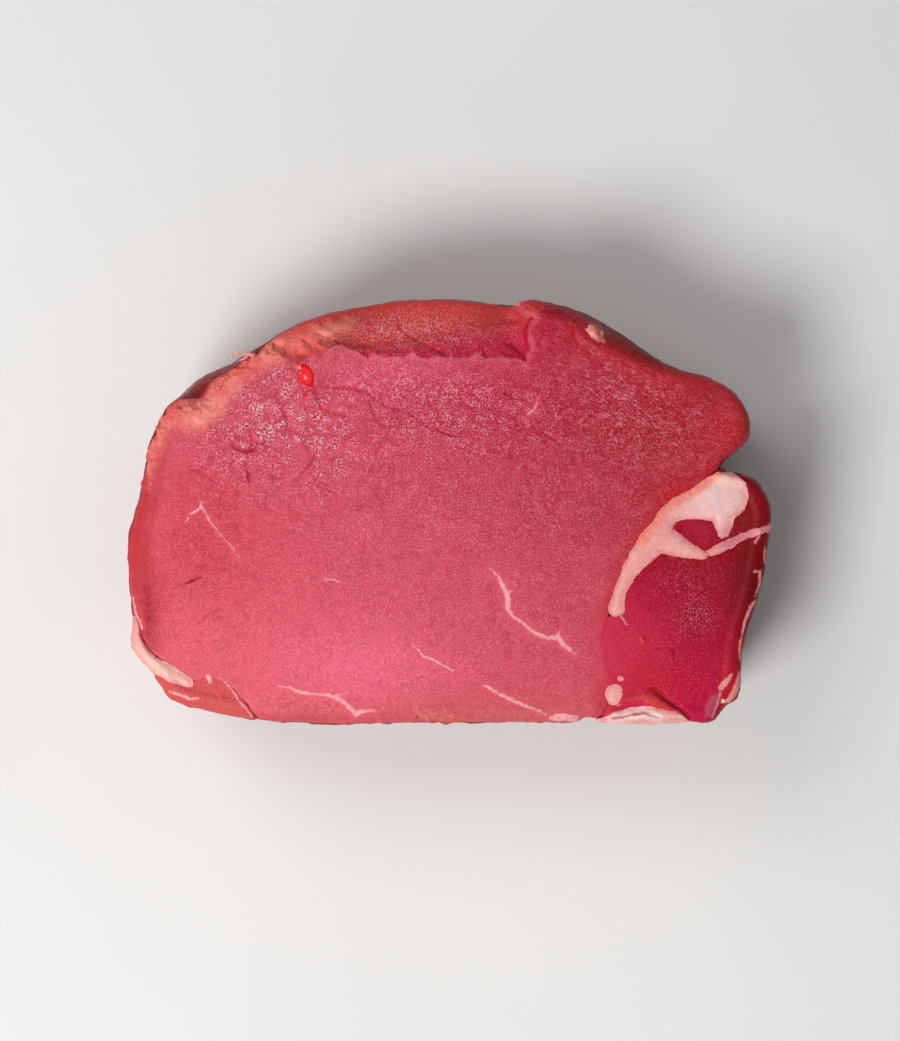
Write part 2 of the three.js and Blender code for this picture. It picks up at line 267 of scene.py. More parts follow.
def ripple(points, size, seed, waves=9):
    # smooth lumps of about this size, between about -1 and 1
    rng = np.random.default_rng(seed)
    total = np.zeros(len(points))
    for _ in range(waves):
        direction = rng.normal(size=3)
        direction /= np.linalg.norm(direction[:2])
        turns = points @ (direction * (1, 1, 0.4)) / (size * rng.uniform(0.8, 1.6))
        total += np.sin(2 * math.pi * turns + rng.uniform(0, 2 * math.pi))
    return total / math.sqrt(waves)


def saveMasks(mesh, masks):
    for name, values in masks.items():
        layer = mesh.attributes.new(name, "FLOAT", "POINT")
        layer.data.foreach_set("value", np.asarray(values, np.float32))


# The upper cut face, read from the solids

def rimOutline():
    # the ring of points halfway round the upper rim, in order round the middle
    points = np.vstack([pointsOf(node.data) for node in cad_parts.values()])
    ring = points[abs(points[:, 2] - cut["shoulder"]) < 0.03][:, :2]
    angles = np.arctan2(ring[:, 1] - cut["middle"][1], ring[:, 0] - cut["middle"][0])
    ring = ring[np.argsort(angles)]
    keep = np.hypot(*(ring - np.roll(ring, 1, 0)).T) > 0.05
    return [tuple(p) for p in ring[keep]]


rimLine = rimOutline()


def mergedCopy(node):
    solid = bmesh.new()
    solid.from_mesh(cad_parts[node].data)
    bmesh.ops.remove_doubles(solid, verts=solid.verts, dist=1e-6)
    solid.normal_update()
    return solid


def topBorder(node):
    # the edges round a solid's upper face, as starts and ends with no width
    solid = mergedCopy(node)
    starts, ends = [], []
    for edge in solid.edges:
        if len(edge.link_faces) != 2 or min(v.co.z for v in edge.verts) < cut["rimFrom"] * metre:
            continue
        rises = sorted(face.normal.z for face in edge.link_faces)
        if rises[0] < 0.45 < rises[1]:
            first, second = (vertex.co / metre for vertex in edge.verts)
            starts.append((first.x, first.y, 0))
            ends.append((second.x, second.y, 0))
    solid.free()
    return np.array(starts), np.array(ends)


class FaceMap:
    # heights of the upper face on a grid, smoothed so that the solids' facets don't show
    def __init__(self, names):
        step, blur = faceGrid["step"], faceGrid["blur"]
        self.low = np.array(faceGrid["low"])
        self.count = (np.array(faceGrid["size"]) / step).astype(int)
        corners, faces = [], []
        for name in names:
            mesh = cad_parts[name].data
            faces += [[i + len(corners) for i in polygon.vertices] for polygon in mesh.polygons]
            corners += [vertex.co / metre for vertex in mesh.vertices]
        tree = BVHTree.FromPolygons(corners, faces)
        xs, ys = (self.low[i] + step * np.arange(self.count[i]) for i in (0, 1))
        spots = np.array([(x, y) for x in xs for y in ys])
        good = outlineDistance(spots, rimLine) < -faceGrid["rimGap"]
        good &= outlineDistance(spots, shelfOutline) > faceGrid["tearGap"]
        heights = np.zeros(len(spots))
        for index in np.flatnonzero(good):
            hit = tree.ray_cast(Vector((*spots[index], 80.0)), Vector((0, 0, -1)))[0]
            if hit is None or hit.z < cut["thickness"] - faceGrid["deepest"]:
                good[index] = False
            else:
                heights[index] = hit.z - cut["thickness"]
        reach = int(4 * blur / step)
        kernel = np.exp(-0.5 * (np.arange(-reach, reach + 1) * step / blur) ** 2)
        weight = self.blurred(good.astype(float), kernel)
        total = self.blurred(heights, kernel)
        self.heights = np.where(weight > 1e-6, total / np.maximum(weight, 1e-6), 0)

    def blurred(self, values, kernel):
        values = values.reshape(self.count)
        for axis in (0, 1):
            values = np.apply_along_axis(lambda row: np.convolve(row, kernel, "same"), axis, values)
        return values

    def at(self, points):
        place = np.clip((points[:, :2] - self.low) / faceGrid["step"], 0, self.count - 1.001)
        cell = place.astype(int)
        u, v = (place - cell).T
        i, j = cell.T
        low = self.heights[i, j] * (1 - u) + self.heights[i + 1, j] * u
        high = self.heights[i, j + 1] * (1 - u) + self.heights[i + 1, j + 1] * u
        return cut["thickness"] + low * (1 - v) + high * v


muscles = ("eye_muscle", "side_muscle", "side_muscle_tip", "strip_muscle")
faceMap = FaceMap(muscles)
print("upper face read from the solids, rim of", len(rimLine), "points")


def tornDistance(points):
    # negative on the shelf, whose edge is ragged
    ragged = 0.4 * ripple(points, 2.6, 11) + 0.16 * ripple(points, 1.1, 12)
    return outlineDistance(points, shelfOutline) + ragged


def shelfHeight(points, torn):
    # the torn tissue climbs back to the face near the edge, most of all at the left
    fall = math.tan(math.radians(cut["shelfSlope"]))
    floor = cut["thickness"] - cut["shelfDrop"] - fall * (points[:, 1] - cut["shelfHinge"])
    climb = 0.65 + 0.25 * smoothStep(-22, -33, points[:, 0])
    climb = climb * np.exp(-np.maximum(-torn, 0) / 4)
    return floor + climb * np.maximum(faceMap.at(points) - floor, 0)


def baseHeight(points, torn):
    soft = 1.8 - 1.1 * smoothStep(-6, 2, points[:, 0])
    shelf = smoothStep(0.6, -soft, torn)
    return faceMap.at(points) * (1 - shelf) + shelfHeight(points, torn) * shelf


# Meshes

def newObject(name, data):
    made = bpy.data.objects.new(name, data)
    bpy.context.scene.collection.objects.link(made)
    return made


def settle(piece):
    # the evaluated mesh takes the place of the piece's own, and its modifiers go
    graph = bpy.context.evaluated_depsgraph_get()
    made = bpy.data.meshes.new_from_object(
        piece.evaluated_get(graph), preserve_all_data_layers=True, depsgraph=graph)
    piece.modifiers.clear()
    old, piece.data = piece.data, made
    bpy.data.meshes.remove(old)
    made.name = piece.name
    return made


def tissueFrom(name, node, swell, voxel):
    # a closed, evenly meshed copy of a solid, grown a little so that it meets its neighbours
    mesh = bpy.data.meshes.new(name)
    solid = mergedCopy(node)
    for vertex in solid.verts:
        vertex.co += vertex.normal * swell * metre
    solid.to_mesh(mesh)
    solid.free()
    piece = newObject(name, mesh)
    remesh = piece.modifiers.new("even", "REMESH")
    remesh.mode = "VOXEL"
    remesh.voxel_size = voxel * metre
    settle(piece)
    return piece


def refine(mesh, chosen):
    # splits every face whose corners are all chosen in four
    work = bmesh.new()
    work.from_mesh(mesh)
    edges = {edge for face in work.faces if all(chosen[v.index] for v in face.verts) for edge in face.edges}
    bmesh.ops.subdivide_edges(work, edges=list(edges), cuts=1, use_grid_fill=True)
    work.to_mesh(mesh)
    work.free()


def relax(mesh, times, strength=0.5, hold=-0.52):
    # smooths without shrinking: each pull towards the neighbours is followed by a push back
    points = pointsOf(mesh)
    first, second = edgesOf(mesh).T
    count = np.bincount(first, minlength=len(points)) + np.bincount(second, minlength=len(points))
    for turn in range(2 * times):
        total = np.zeros_like(points)
        for axis in range(3):
            total[:, axis] = (np.bincount(first, points[second, axis], len(points))
                              + np.bincount(second, points[first, axis], len(points)))
        step = strength if turn % 2 == 0 else hold
        points += (total / count[:, None] - points) * step
    movePoints(mesh, points)


# Node wiring

def plug(value, socket):
    if isinstance(value, Wire):
        socket.id_data.links.new(value.socket, socket)
    else:
        socket.default_value = value


class Wire:
    # an output socket whose operators add Math nodes
    def __init__(self, socket):
        self.socket = socket

    def math(self, operation, *values):
        node = self.socket.id_data.nodes.new("ShaderNodeMath")
        node.operation = operation
        for index, value in enumerate(values):
            plug(value, node.inputs[index])
        return Wire(node.outputs[0])

    def between(self, low, high):  # soft step from 0 at low to 1 at high
        node = self.socket.id_data.nodes.new("ShaderNodeMapRange")
        node.interpolation_type = "SMOOTHSTEP"
        for index, value in enumerate((self, low, high)):
            plug(value, node.inputs[index])
        return Wire(node.outputs[0])


def addOperator(name, operation):
    setattr(Wire, f"__{name}__", lambda wire, other: wire.math(operation, wire, other))
    setattr(Wire, f"__r{name}__", lambda wire, other: wire.math(operation, other, wire))


for name, operation in (("add", "ADD"), ("sub", "SUBTRACT"), ("mul", "MULTIPLY"), ("truediv", "DIVIDE")):
    addOperator(name, operation)


class Bench:
    def __init__(self, tree):
        self.tree = tree

    def add(self, kind, settings=None, values=None, output=0):
        node = self.tree.nodes.new(kind)
        for name, value in (settings or {}).items():
            setattr(node, name, value)
        for name, value in (values or {}).items():
            plug(value, node.inputs[name])
        return Wire(node.outputs[output])

    def mask(self, name):
        if self.tree.type == "SHADER":
            return self.add("ShaderNodeAttribute", {"attribute_name": name}, {}, 2)
        return self.add("GeometryNodeInputNamedAttribute", {"data_type": "FLOAT"}, {"Name": name})

    def place(self):  # in millimetres
        here = (self.add("ShaderNodeTexCoord", {}, {}, 3) if self.tree.type == "SHADER"
                else self.add("GeometryNodeInputPosition"))
        return self.vector("SCALE", here, 1 / metre)

    def vector(self, operation, first, second):
        values = {0: first, 1: second} if operation != "SCALE" else {0: first, "Scale": second}
        return self.add("ShaderNodeVectorMath", {"operation": operation}, values)

    def mix(self, factor, first, second, mode="MIX"):
        return self.add("ShaderNodeMix", {"data_type": "RGBA", "blend_type": mode},
                        {0: factor, 6: first, 7: second}, 2)

    def paint(self, colour, look, layers):  # each layer is a share, and the look's tone for it
        for share, tone in layers:
            colour = self.mix(share, colour, look[tone])
        return colour

    def wash(self, colour, look, ragged):
        for name, (tone, _) in look["washes"].items():
            colour = self.mix(self.mask(name) * (1 + ragged), colour, tone)
        return colour

    def shade(self, colour, brightness):
        grey = self.add("ShaderNodeCombineColor", {}, {0: brightness, 1: brightness, 2: brightness})
        return self.mix(1.0, colour, grey, "MULTIPLY")

    def bump(self, height):
        return self.add("ShaderNodeBump", {}, {"Strength": 1.0, "Distance": metre, "Height": height})

    def noise(self, vector, scale, detail=2.0, roughness=0.5, distortion=0.0, output=0):
        return self.add("ShaderNodeTexNoise", {}, {
            "Vector": vector, "Scale": scale, "Detail": detail, "Roughness": roughness,
            "Distortion": distortion}, output)

    def cells(self, vector, scale):  # distance to the edges of a random net
        return self.add("ShaderNodeTexVoronoi", {"feature": "DISTANCE_TO_EDGE"}, {
            "Vector": vector, "Scale": scale, "Randomness": 1.0})


# Relief: one Geometry Nodes tree for every tissue

def startTree(name, starts):
    # a Geometry Nodes tree with these inputs between its geometry and its material
    tree = bpy.data.node_groups.new(name, "GeometryNodeTree")
    ports = tree.interface
    for port, start in {"Geometry": None, **starts, "Material": None}.items():
        kind = {float: "Float", int: "Int"}.get(type(start), port)
        socket = ports.new_socket(port, in_out="INPUT", socket_type="NodeSocket" + kind)
        if start is not None:
            socket.default_value = start
    ports.new_socket("Geometry", in_out="OUTPUT", socket_type="NodeSocketGeometry")
    group = tree.nodes.new("NodeGroupInput")
    return Bench(tree), lambda port: Wire(group.outputs[port])


def endTree(bench, geometry, material):
    joined = bench.add("GeometryNodeRealizeInstances", {}, {"Geometry": geometry})
    done = bench.add("GeometryNodeSetMaterial", {}, {"Geometry": joined, "Material": material})
    plug(done, bench.tree.nodes.new("NodeGroupOutput").inputs[0])
    return bench.tree


def reliefTree():
    bench, port = startTree("tissueRelief", {
        "Wave Size": 9.0, "Wave Height": 0.2, "Cell Size": 3.2, "Cell Depth": 0.12, "Grain Size": 0.9,
        "Grain Height": 0.08, "Fibre Height": 0.7, "Rag Size": 1.4, "Rag Reach": 0.0})
    place = bench.place()
    wall = bench.mask("wall")
    waves = bench.noise(place, 1 / port("Wave Size")) - 0.5
    warp = bench.vector("SCALE", bench.noise(place, 0.35, output=1), 1.6)
    cellEdge = bench.cells(bench.vector("ADD", place, warp), 1 / port("Cell Size"))
    cells = cellEdge.between(0.0, 0.2) - 1
    grain = bench.noise(place, 1 / port("Grain Size"), 3.0) - 0.5
    upright = bench.vector("MULTIPLY", place, (1.0, 1.0, 0.12))
    fibres = bench.noise(upright, 0.33, 3.0) - 0.5
    height = (waves * port("Wave Height") * (wall * 3.0 + 1.0)
              + cells * port("Cell Depth") * bench.mask("crackle") * (1 - wall)
              + grain * port("Grain Height")
              + fibres * port("Fibre Height") * wall
              + bench.mask("lift"))
    along = bench.vector("SCALE", bench.add("GeometryNodeInputNormal"), height * metre)
    rag = bench.noise(place, 1 / port("Rag Size"), 2.0, output=1)
    rag = bench.vector("MULTIPLY", bench.vector("SUBTRACT", rag, (0.5, 0.5, 0.5)), (1.0, 1.0, 0.25))
    rag = bench.vector("SCALE", rag, port("Rag Reach") * bench.mask("rag") * metre)
    moved = bench.add("GeometryNodeSetPosition", {}, {
        "Geometry": port("Geometry"), "Offset": bench.vector("ADD", along, rag)})
    return endTree(bench, moved, port("Material"))


def runTree(piece, tree, values):
    modifier = piece.modifiers.new(tree.name, "NODES")
    modifier.node_group = tree
    names = {item.name: item.identifier for item in tree.interface.items_tree
             if item.item_type == "SOCKET" and item.in_out == "INPUT"}
    for name, value in values.items():
        modifier[names[name]] = value
    return settle(piece)


# Materials

studio = {
    "haze": 0.031,  # white that the wet surface adds under these lights
    "level": 0.9,  # how bright a white surface comes out
    "sky": 0.24,  # strength of the white surroundings
    "floorGap": 0.0002,  # metres between the floor and the meat
}


def tint(red, green, blue):  # 0 to 255, as seen on screen
    levels = [value / 255 for value in (red, green, blue)]
    linear = [v / 12.92 if v <= 0.04045 else ((v + 0.055) / 1.055) ** 2.4 for v in levels]
    return (*(max(0.0, v - studio["haze"]) / studio["level"] for v in linear), 1.0)


def newMaterial(name):
    material = bpy.data.materials.new(name)
    material.use_nodes = True
    material.node_tree.nodes.clear()
    return material, Bench(material.node_tree)


def finishMaterial(bench, values):
    shader = bench.tree.nodes.new("ShaderNodeBsdfPrincipled")
    for name, value in values.items():
        plug(value, shader.inputs[name])
    out = bench.tree.nodes.new("ShaderNodeOutputMaterial")
    bench.tree.links.new(shader.outputs[0], out.inputs["Surface"])


def muscleMaterial(name, look):
    material, bench = newMaterial(name)
    mask, mix, noise, paint = bench.mask, bench.mix, bench.noise, bench.paint
    place = bench.place()
    warp = bench.vector("SUBTRACT", noise(place, 0.35, output=1), (0.5, 0.5, 0.5))
    bent = bench.vector("ADD", place, bench.vector("SCALE", warp, 3.0))
    upper, wall, crackle, glint = mask("upper"), mask("wall"), mask("crackle"), mask("glint")
    ragged = noise(place, 1.4, 4.0, 0.65) - 0.5

    # grain, bundles of fibres, and the wet film, whose glints are painted as fine pale specks
    grain = noise(bent, 1.1, 3.0, 0.6)
    broad = noise(place, 0.12, 3.0, 0.55)
    mottle = noise(bent, 0.5, 3.0, 0.6)
    bundles = bench.cells(bent, 1 / look["bundle"])
    inside = bundles.between(0.0, 0.2)
    crack = bundles.between(0.11, 0.0) * noise(place, 0.3).between(0.42, 0.6) * crackle
    speck = noise(place, look["speckScale"], 2.0, 0.7)
    worm = noise(place, look["speckScale"] * 0.42, 2.0, 0.6)
    ridge = worm.between(0.43, 0.5) * worm.between(0.57, 0.5)
    clump = mottle.between(0.38, 0.6)
    film = (1 - (1 - clump) * (crackle * 0.6 + 0.1)) * (1 - crackle * (1 - inside)) * glint
    low = look["speckLow"] - film * (ridge * 0.1 + 0.03)
    fleckAndGlint = speck.between(low, low + 0.12) * (film * look["fleckAndGlintGain"] + 0.05)
    pit = speck.between(0.5, 0.4) * (film * 0.95 + 0.05)
    mapped = bench.add("ShaderNodeMapping", {"vector_type": "TEXTURE"}, {
        "Vector": bent, "Rotation": (0, 0, math.radians(-28)), "Scale": (1.3, 0.34, 1.0)})
    streak = noise(mapped, 1.0, 2.0, 0.6)
    streakLight = streak.between(0.55, 0.68) * mask("streak")
    streakDark = streak.between(0.46, 0.34) * mask("streak")
    rimEdge = mask("rim") + ragged * 1.6 + (broad - 0.5) * 4.0

    # paler to the lower left, darker to the upper right: on the eye and strip muscles, painted shade
    colour = mix(mask("deepAndShade"), look["pale"], look["deepAndShade"])
    colour = mix(broad.between(0.4, 0.75) * 0.25, colour, look["pale"])
    colour = bench.wash(colour, look, ragged * 1.2)
    colour = bench.shade(colour, 1 + (grain - 0.5) * look["grainTone"] + (speck - 0.5) * look["dustTone"])
    colour = paint(colour, look, (
        (crack * 0.5, "crack"),
        (mottle.between(0.45, 0.7) * 0.22, "pale"),
        (mottle.between(0.5, 0.3) * 0.22, "deepAndShade"),
        (film * 0.5, "under"),
        (pit, "pit"),
        # painted glints of the wet film, and pale streaks along the fibres
        (fleckAndGlint, "fleckAndGlint"),
        (streakLight * 0.55, "fleckAndGlint"),
        (streakDark * 0.45, "crack"),
        (rimEdge.between(mask("rimWidth"), 0.2) * mask("rimTone"), "rim")))

    # dried torn tissue, and the tones beside the seam and the side line
    orange = (mask("orange") + ragged * 3.0 + (broad - 0.5) * 3.0).between(1.2, -1.8) * (1 - wall)
    dry = mix(broad.between(0.36, 0.62), look["orangeDark"], look["orange"])
    dry = mix(speck.between(0.54, 0.68) * 0.35, dry, look["fleckAndGlint"])
    colour = mix(orange * 0.9, colour, dry)
    seamBand = (mask("seam") + ragged * 2.0).between(3.5, 0.0) * upper
    colour = mix(seamBand * look["seamStrength"], colour, look["seamSide"])
    lineBand = (mask("line") + ragged * 2.0).between(5.0, 0.0) * upper
    colour = mix(lineBand * look["lineStrength"], colour, look["lineSide"])

    # the torn shelf
    torn = mask("torn") + ragged * 0.8
    shelf = mix(mask("shelfOrange"), look["shelf"], look["shelfOrange"])
    shelf = paint(shelf, look, (
        (grain.between(0.48, 0.66) * 0.2, "shelfDark"),
        (pit * 0.5, "shelfDark"),
        # painted glints on the shelf
        (fleckAndGlint * 0.6, "fleckAndGlint")))
    shelf = mix(orange, shelf, dry)
    # painted shade in the dip beside the fold
    shelf = mix(mask("fold"), shelf, look["dipShade"])
    colour = mix(torn.between(0.5, -0.5) * upper, colour, shelf)
    # painted highlight: the lip of the torn edge, lit and paler
    lip = torn.between(1.6, 0.5) * torn.between(-0.1, 0.25) * upper * mask("openStep")
    colour = mix(lip * 0.25, colour, look["lip"])

    # the outer wall: long fibres under a thin skin
    fibres = noise(bench.vector("MULTIPLY", bent, (1.0, 1.0, 0.13)), 0.4, 5.0, 0.55)
    threads = noise(bench.vector("MULTIPLY", bent, (1.0, 1.0, 0.05)), 1.6)
    skin = noise(bent, 0.1, 5.0, 0.62, 0.9)
    skinFilm = skin.between(0.46, 0.62)
    wallColour = mix(fibres.between(0.28, 0.72), look["wallDark"], look["wallLight"])
    wallColour = paint(wallColour, look, (
        (threads.between(0.52, 0.62) * 0.22, "wallSkin"),
        (threads.between(0.48, 0.38) * 0.3, "wallDark"),
        (skinFilm * 0.6, "wallSkin"),
        (skin.between(0.61, 0.66) * fibres.between(0.4, 0.55) * 0.6, "wallFat")))
    colour = mix(wall, colour, wallColour)
    # painted shade: darker patches on the shelf and along the upper rims, where shadow falls
    colour = mix(mask("paintedShade") * upper, colour, look["paintedShade"])

    # blood, marbling, cuts and thin skin
    blood = (mask("blood") + ragged * 0.5).between(0.15, -0.15) * upper
    colour = mix(blood, colour, mix(mask("blood").between(-0.9, -0.1), look["blood"], look["bloodDeep"]))
    threadEdge = mask("vein") + ragged * 1.1
    vein = threadEdge.between(0.22, -0.18) * upper
    groove = (mask("groove") + ragged).between(0.4, -0.25) * upper
    slit = (mask("slit") + ragged * 0.6).between(0.25, -0.05) * upper
    colour = paint(colour, look, (
        ((threadEdge + ragged).between(1.6, 0.1) * upper * 0.3, "pale"),
        (vein * (grain * 1.4 + 0.05), "vein"),
        # dark lines between bundles; in creases and crevices, painted shade
        (groove * 0.55, "groove"),
        (slit * 0.6, "slit")))
    skinTone = mix(broad.between(0.45, 0.6), look["membrane"], look["membraneOrange"])
    colour = mix((mask("membrane") + ragged * 0.9).between(0.3, -0.2) * 0.85, colour, skinTone)
    colour = mix((mask("silver") + ragged * 0.8).between(0.2, -0.3) * 0.55, colour, look["silver"])

    roughness = (0.5 - fleckAndGlint * 0.2 - streakLight * 0.15 + wall * 0.1 - blood * 0.3
                 + orange * 0.1 + (grain - 0.5) * 0.2)
    bumps = (grain * 0.1 + ridge * 0.04 * glint + speck * (0.08 * glint + 0.04) + inside * 0.06 * crackle
             + streak * mask("streak") * 0.15 - crack * 0.05 - slit * 0.2 - groove * 0.08 + vein * 0.05
             + orange * grain * 0.12 + (fibres * 0.5 + threads * 0.12 - skinFilm * 0.1) * wall)
    wet = (glint * 0.16 + blood * 0.5 + 0.04) * (1 - wall * 0.7) + skinFilm * wall * 0.1
    finishMaterial(bench, {
        "Base Color": colour, "Roughness": roughness, "Normal": bench.bump(bumps), "Coat Weight": wet,
        "IOR": 1.4, "Specular IOR Level": 0.22, "Coat IOR": 1.36, "Coat Roughness": 0.14,
        "Subsurface Weight": 0.08, "Subsurface Radius": (1.0, 0.25, 0.15), "Subsurface Scale": 0.0008})
    return material


def fatMaterial(name, look):
    material, bench = newMaterial(name)
    mask, mix, noise = bench.mask, bench.mix, bench.noise
    place = bench.place()
    wall = mask("wall")
    soft = noise(place, 0.35, 3.0, 0.6, 0.4)
    fine = noise(place, 1.3, 3.0, 0.65)
    speck = noise(place, 2.0, 3.0, 0.75)
    wrinkle = noise(place, 0.6, 2.0, 0.5, 1.2)
    thread = wrinkle.between(0.47, 0.5) * wrinkle.between(0.53, 0.5) * soft.between(0.42, 0.56)
    crease = (mask("crease") + (fine - 0.5) * 0.8).between(0.3, -0.1)
    lean = noise(bench.vector("MULTIPLY", place, (1.0, 1.0, 0.16)), 0.4, 4.0, 0.62, 0.4)
    thin = lean + mask("drop") * 0.2 + (1.6 - mask("ends")).between(0.0, 1.6) * 0.18
    colour = mix(soft.between(0.35, 0.65) * 0.45, look["body"], look["white"])
    colour = bench.wash(colour, look, (fine - 0.5) * 0.8)
    colour = bench.paint(colour, look, (
        ((mask("rosy") + (fine - 0.5) * 0.6).between(0.15, 0.85) * 0.9, "rosy"),
        (thread * 0.15, "stain"),
        ((mask("inward") + (fine - 0.5) * 1.6).between(0.8, -0.1) * 0.4, "edge"),
        (speck.between(0.53, 0.65) * 0.3, "glint"),
        (speck.between(0.47, 0.38) * 0.1, "stain"),
        ((mask("pleat") - 0.5).between(0.9, 0.1) * 0.5, "glint"),
        (crease * 0.8, "crease"),
        (wall * 0.7, "deepFat"),
        (wall * thin.between(0.52, 0.64) * 0.6, "skin")))
    bare = mix(wrinkle.between(0.4, 0.65) * 0.6, look["lean"], look["skin"])
    colour = mix(wall * thin.between(0.58, 0.66) * 0.95, colour, bare)
    bumps = soft * 0.14 + fine * 0.04 + speck * 0.02 - thread * 0.02 - crease * 0.1 + lean * wall * 0.3
    finishMaterial(bench, {
        "Base Color": colour, "Roughness": 0.5 - fine * 0.15, "Normal": bench.bump(bumps),
        "Coat Weight": 0.06 + soft * 0.16, "IOR": 1.42, "Specular IOR Level": 0.3, "Coat IOR": 1.38,
        "Coat Roughness": 0.2, "Subsurface Weight": 0.12, "Subsurface Radius": (1.0, 0.6, 0.5),
        "Subsurface Scale": 0.001})
    return material


def shredMaterial(name, dark, light):
    material, bench = newMaterial(name)
    place = bench.place()
    fine = bench.noise(place, 2.6, 2.0, 0.6)
    colour = bench.mix(bench.noise(place, 0.6, 3.0, 0.6).between(0.38, 0.62), dark, light)
    colour = bench.shade(colour, (fine - 0.5) * 0.5 + 1.0)
    finishMaterial(bench, {
        "Base Color": colour, "Roughness": 0.5 - fine * 0.1, "Normal": bench.bump(fine * 0.12),
        "IOR": 1.4, "Specular IOR Level": 0.35, "Coat Weight": 0.15, "Coat Roughness": 0.2,
        "Subsurface Weight": 0.15, "Subsurface Radius": (1.0, 0.4, 0.3), "Subsurface Scale": 0.0006})
    return material


# Soft patches of colour: a tone, then the places that zone() reads
eyeWashes = {
    "lighter": (tint(246, 118, 140), [
        (-12, 27, 15, 6, 0, .6), (-18, -31, 15, 8, 0, .8), (-30, 18, 14, 9, 0, .4)]),
    "leftDeep": (tint(200, 60, 78), [(-50, -6, 12, 15, 0, .55), (-60, -14, 6, 14, 0, .5)]),
    "rightDeep": (tint(170, 16, 50), [
        (36, 17, 22, 11, -14, .8), (40, 4, 16, 10, 0, .45), (20, 2, 14, 8, 0, .25)]),
    "leftRim": (tint(172, 58, 62), [(-61.5, -22, 3, 11, 0, .9)]),
    "upperPink": (tint(206, 56, 84), [(4, 22, 26, 9, 0, .5)]),
    "dryTan": (tint(206, 106, 102), [
        (8, -42, 26, 4, 0, .85), (-28, -41, 8, 3, 0, .6), (-46, -36, 9, 4, -30, .3)]),
    "warmRim": (tint(198, 56, 48), [
        (40, 30.5, 16, 3.8, -22, .85), (57, 17, 6, 9, 0, .5), (44.5, 2.6, 4.5, 3.5, 40, .5)]),
    "nose": (tint(160, 38, 38), [(60, 17, 3.6, 9, 0, .9)]),
    "foldPink": (tint(184, 44, 72), [(18.8, 35.2, 3.4, 4.8, 0, .9)]),
    "foldOrange": (tint(188, 34, 36), [(24.2, 35.8, 1.9, 2.2, 0, .85)]),
    # painted shade along the fold's upper edge, which faces away from the key light
    "foldTopShade": (tint(150, 14, 34), [(21.4, 39.6, 3.6, 1.2, -12, 1.0)]),
    "foldBrown": (tint(200, 74, 64), [(15.9, 40.2, 2.0, 1.3, 0, .8)]),
    "bloodTrail": (tint(216, 46, 60), [(-28.4, 23.6, 1.0, 1.8, 0, .8)]),
    "bump": (tint(212, 18, 40), [(-64.4, -11.2, .8, 1.4, 0, 1.0)]),
}
sideWashes = {
    "darkRim": (tint(104, 0, 10), [(60.5, -13, 5.0, 15, 6, 1.0)]),
    "linePink": (tint(212, 70, 90), [(35.5, -29, 8.5, 9.5, 0, .9)]),
    "horn": (tint(130, 22, 36), [(58.5, 2.0, 4.5, 6, 0, .7)]),
    "enclosed": (tint(188, 58, 80), [(50.0, -3.6, 4.2, 2.2, -35, .9)]),
    "underBand": (tint(178, 42, 66), [(41.5, -12.5, 4, 5, 30, .5), (48, -11.5, 6, 2.5, 0, .4)]),
    "lowRed": (tint(204, 60, 56), [(57, -36, 2.2, 5, 10, .8)]),
    "lowPink": (tint(200, 54, 68), [(43, -34, 10, 4.5, -15, .7)]),
}
stripWashes = {
    "dull": (tint(206, 94, 88), [(-50, -38, 8, 3, -25, .6)]),
}
fatWashes = {
    "knob": (tint(244, 204, 202), [(53.2, 2.6, 6.2, 6.0, -10, 1.0)]),
    "cream": (tint(246, 200, 184), [
        (54.6, 6.8, 3.0, 1.6, -20, .8), (-58, -31.5, 7, 4, -35, .8), (38, -41.0, 9, 1.4, 0, .7)]),
    "violet": (tint(196, 112, 136), [
        (46.9, -5.2, 3.6, 1.0, -38, .9), (56.7, -6.0, 5.4, 1.3, 22, .8), (55.0, -3.9, 1.2, 1.2, 0, .5)]),
}
eyeLook = {
    "washes": eyeWashes,
    "bundle": 3.6,  # width of a bundle of fibres
    "speckScale": 3.2,  # specks a millimetre
    "speckLow": 0.515,
    "fleckAndGlintGain": 0.9,
    "dustTone": 0.3,
    "grainTone": 0.3,
    "pale": tint(234, 106, 121),
    "deepAndShade": tint(170, 45, 67),
    "crack": tint(160, 30, 60),
    "groove": tint(184, 34, 66),
    "under": tint(204, 44, 82),
    "pit": tint(132, 14, 46),
    # painted glints of the wet film; also the pale specks of dry tissue and fibre streaks
    "fleckAndGlint": tint(255, 202, 214),
    "rim": tint(194, 72, 76),
    "orange": tint(242, 144, 128),
    "orangeDark": tint(228, 104, 98),
    "seamSide": tint(190, 50, 50),
    "seamStrength": 0.4,
    "lineSide": tint(206, 70, 88),
    "lineStrength": 0.5,
    "shelf": tint(198, 56, 80),
    "shelfOrange": tint(208, 78, 72),
    "shelfDark": tint(150, 28, 46),
    # painted shade in the dip beside the fold
    "dipShade": tint(120, 26, 48),
    # painted highlight on the lip of the torn edge
    "lip": tint(236, 124, 138),
    "wallDark": tint(112, 24, 34),
    "wallLight": tint(154, 44, 52),
    "wallSkin": tint(158, 78, 84),
    "wallFat": tint(206, 134, 122),
    # painted shade
    "paintedShade": tint(132, 22, 42),
    "vein": tint(246, 178, 180),
    "slit": tint(170, 16, 52),
    "membrane": tint(232, 160, 156),
    "membraneOrange": tint(232, 136, 116),
    "silver": tint(176, 104, 122),
    "blood": tint(244, 16, 36),
    "bloodDeep": tint(214, 14, 34),
}
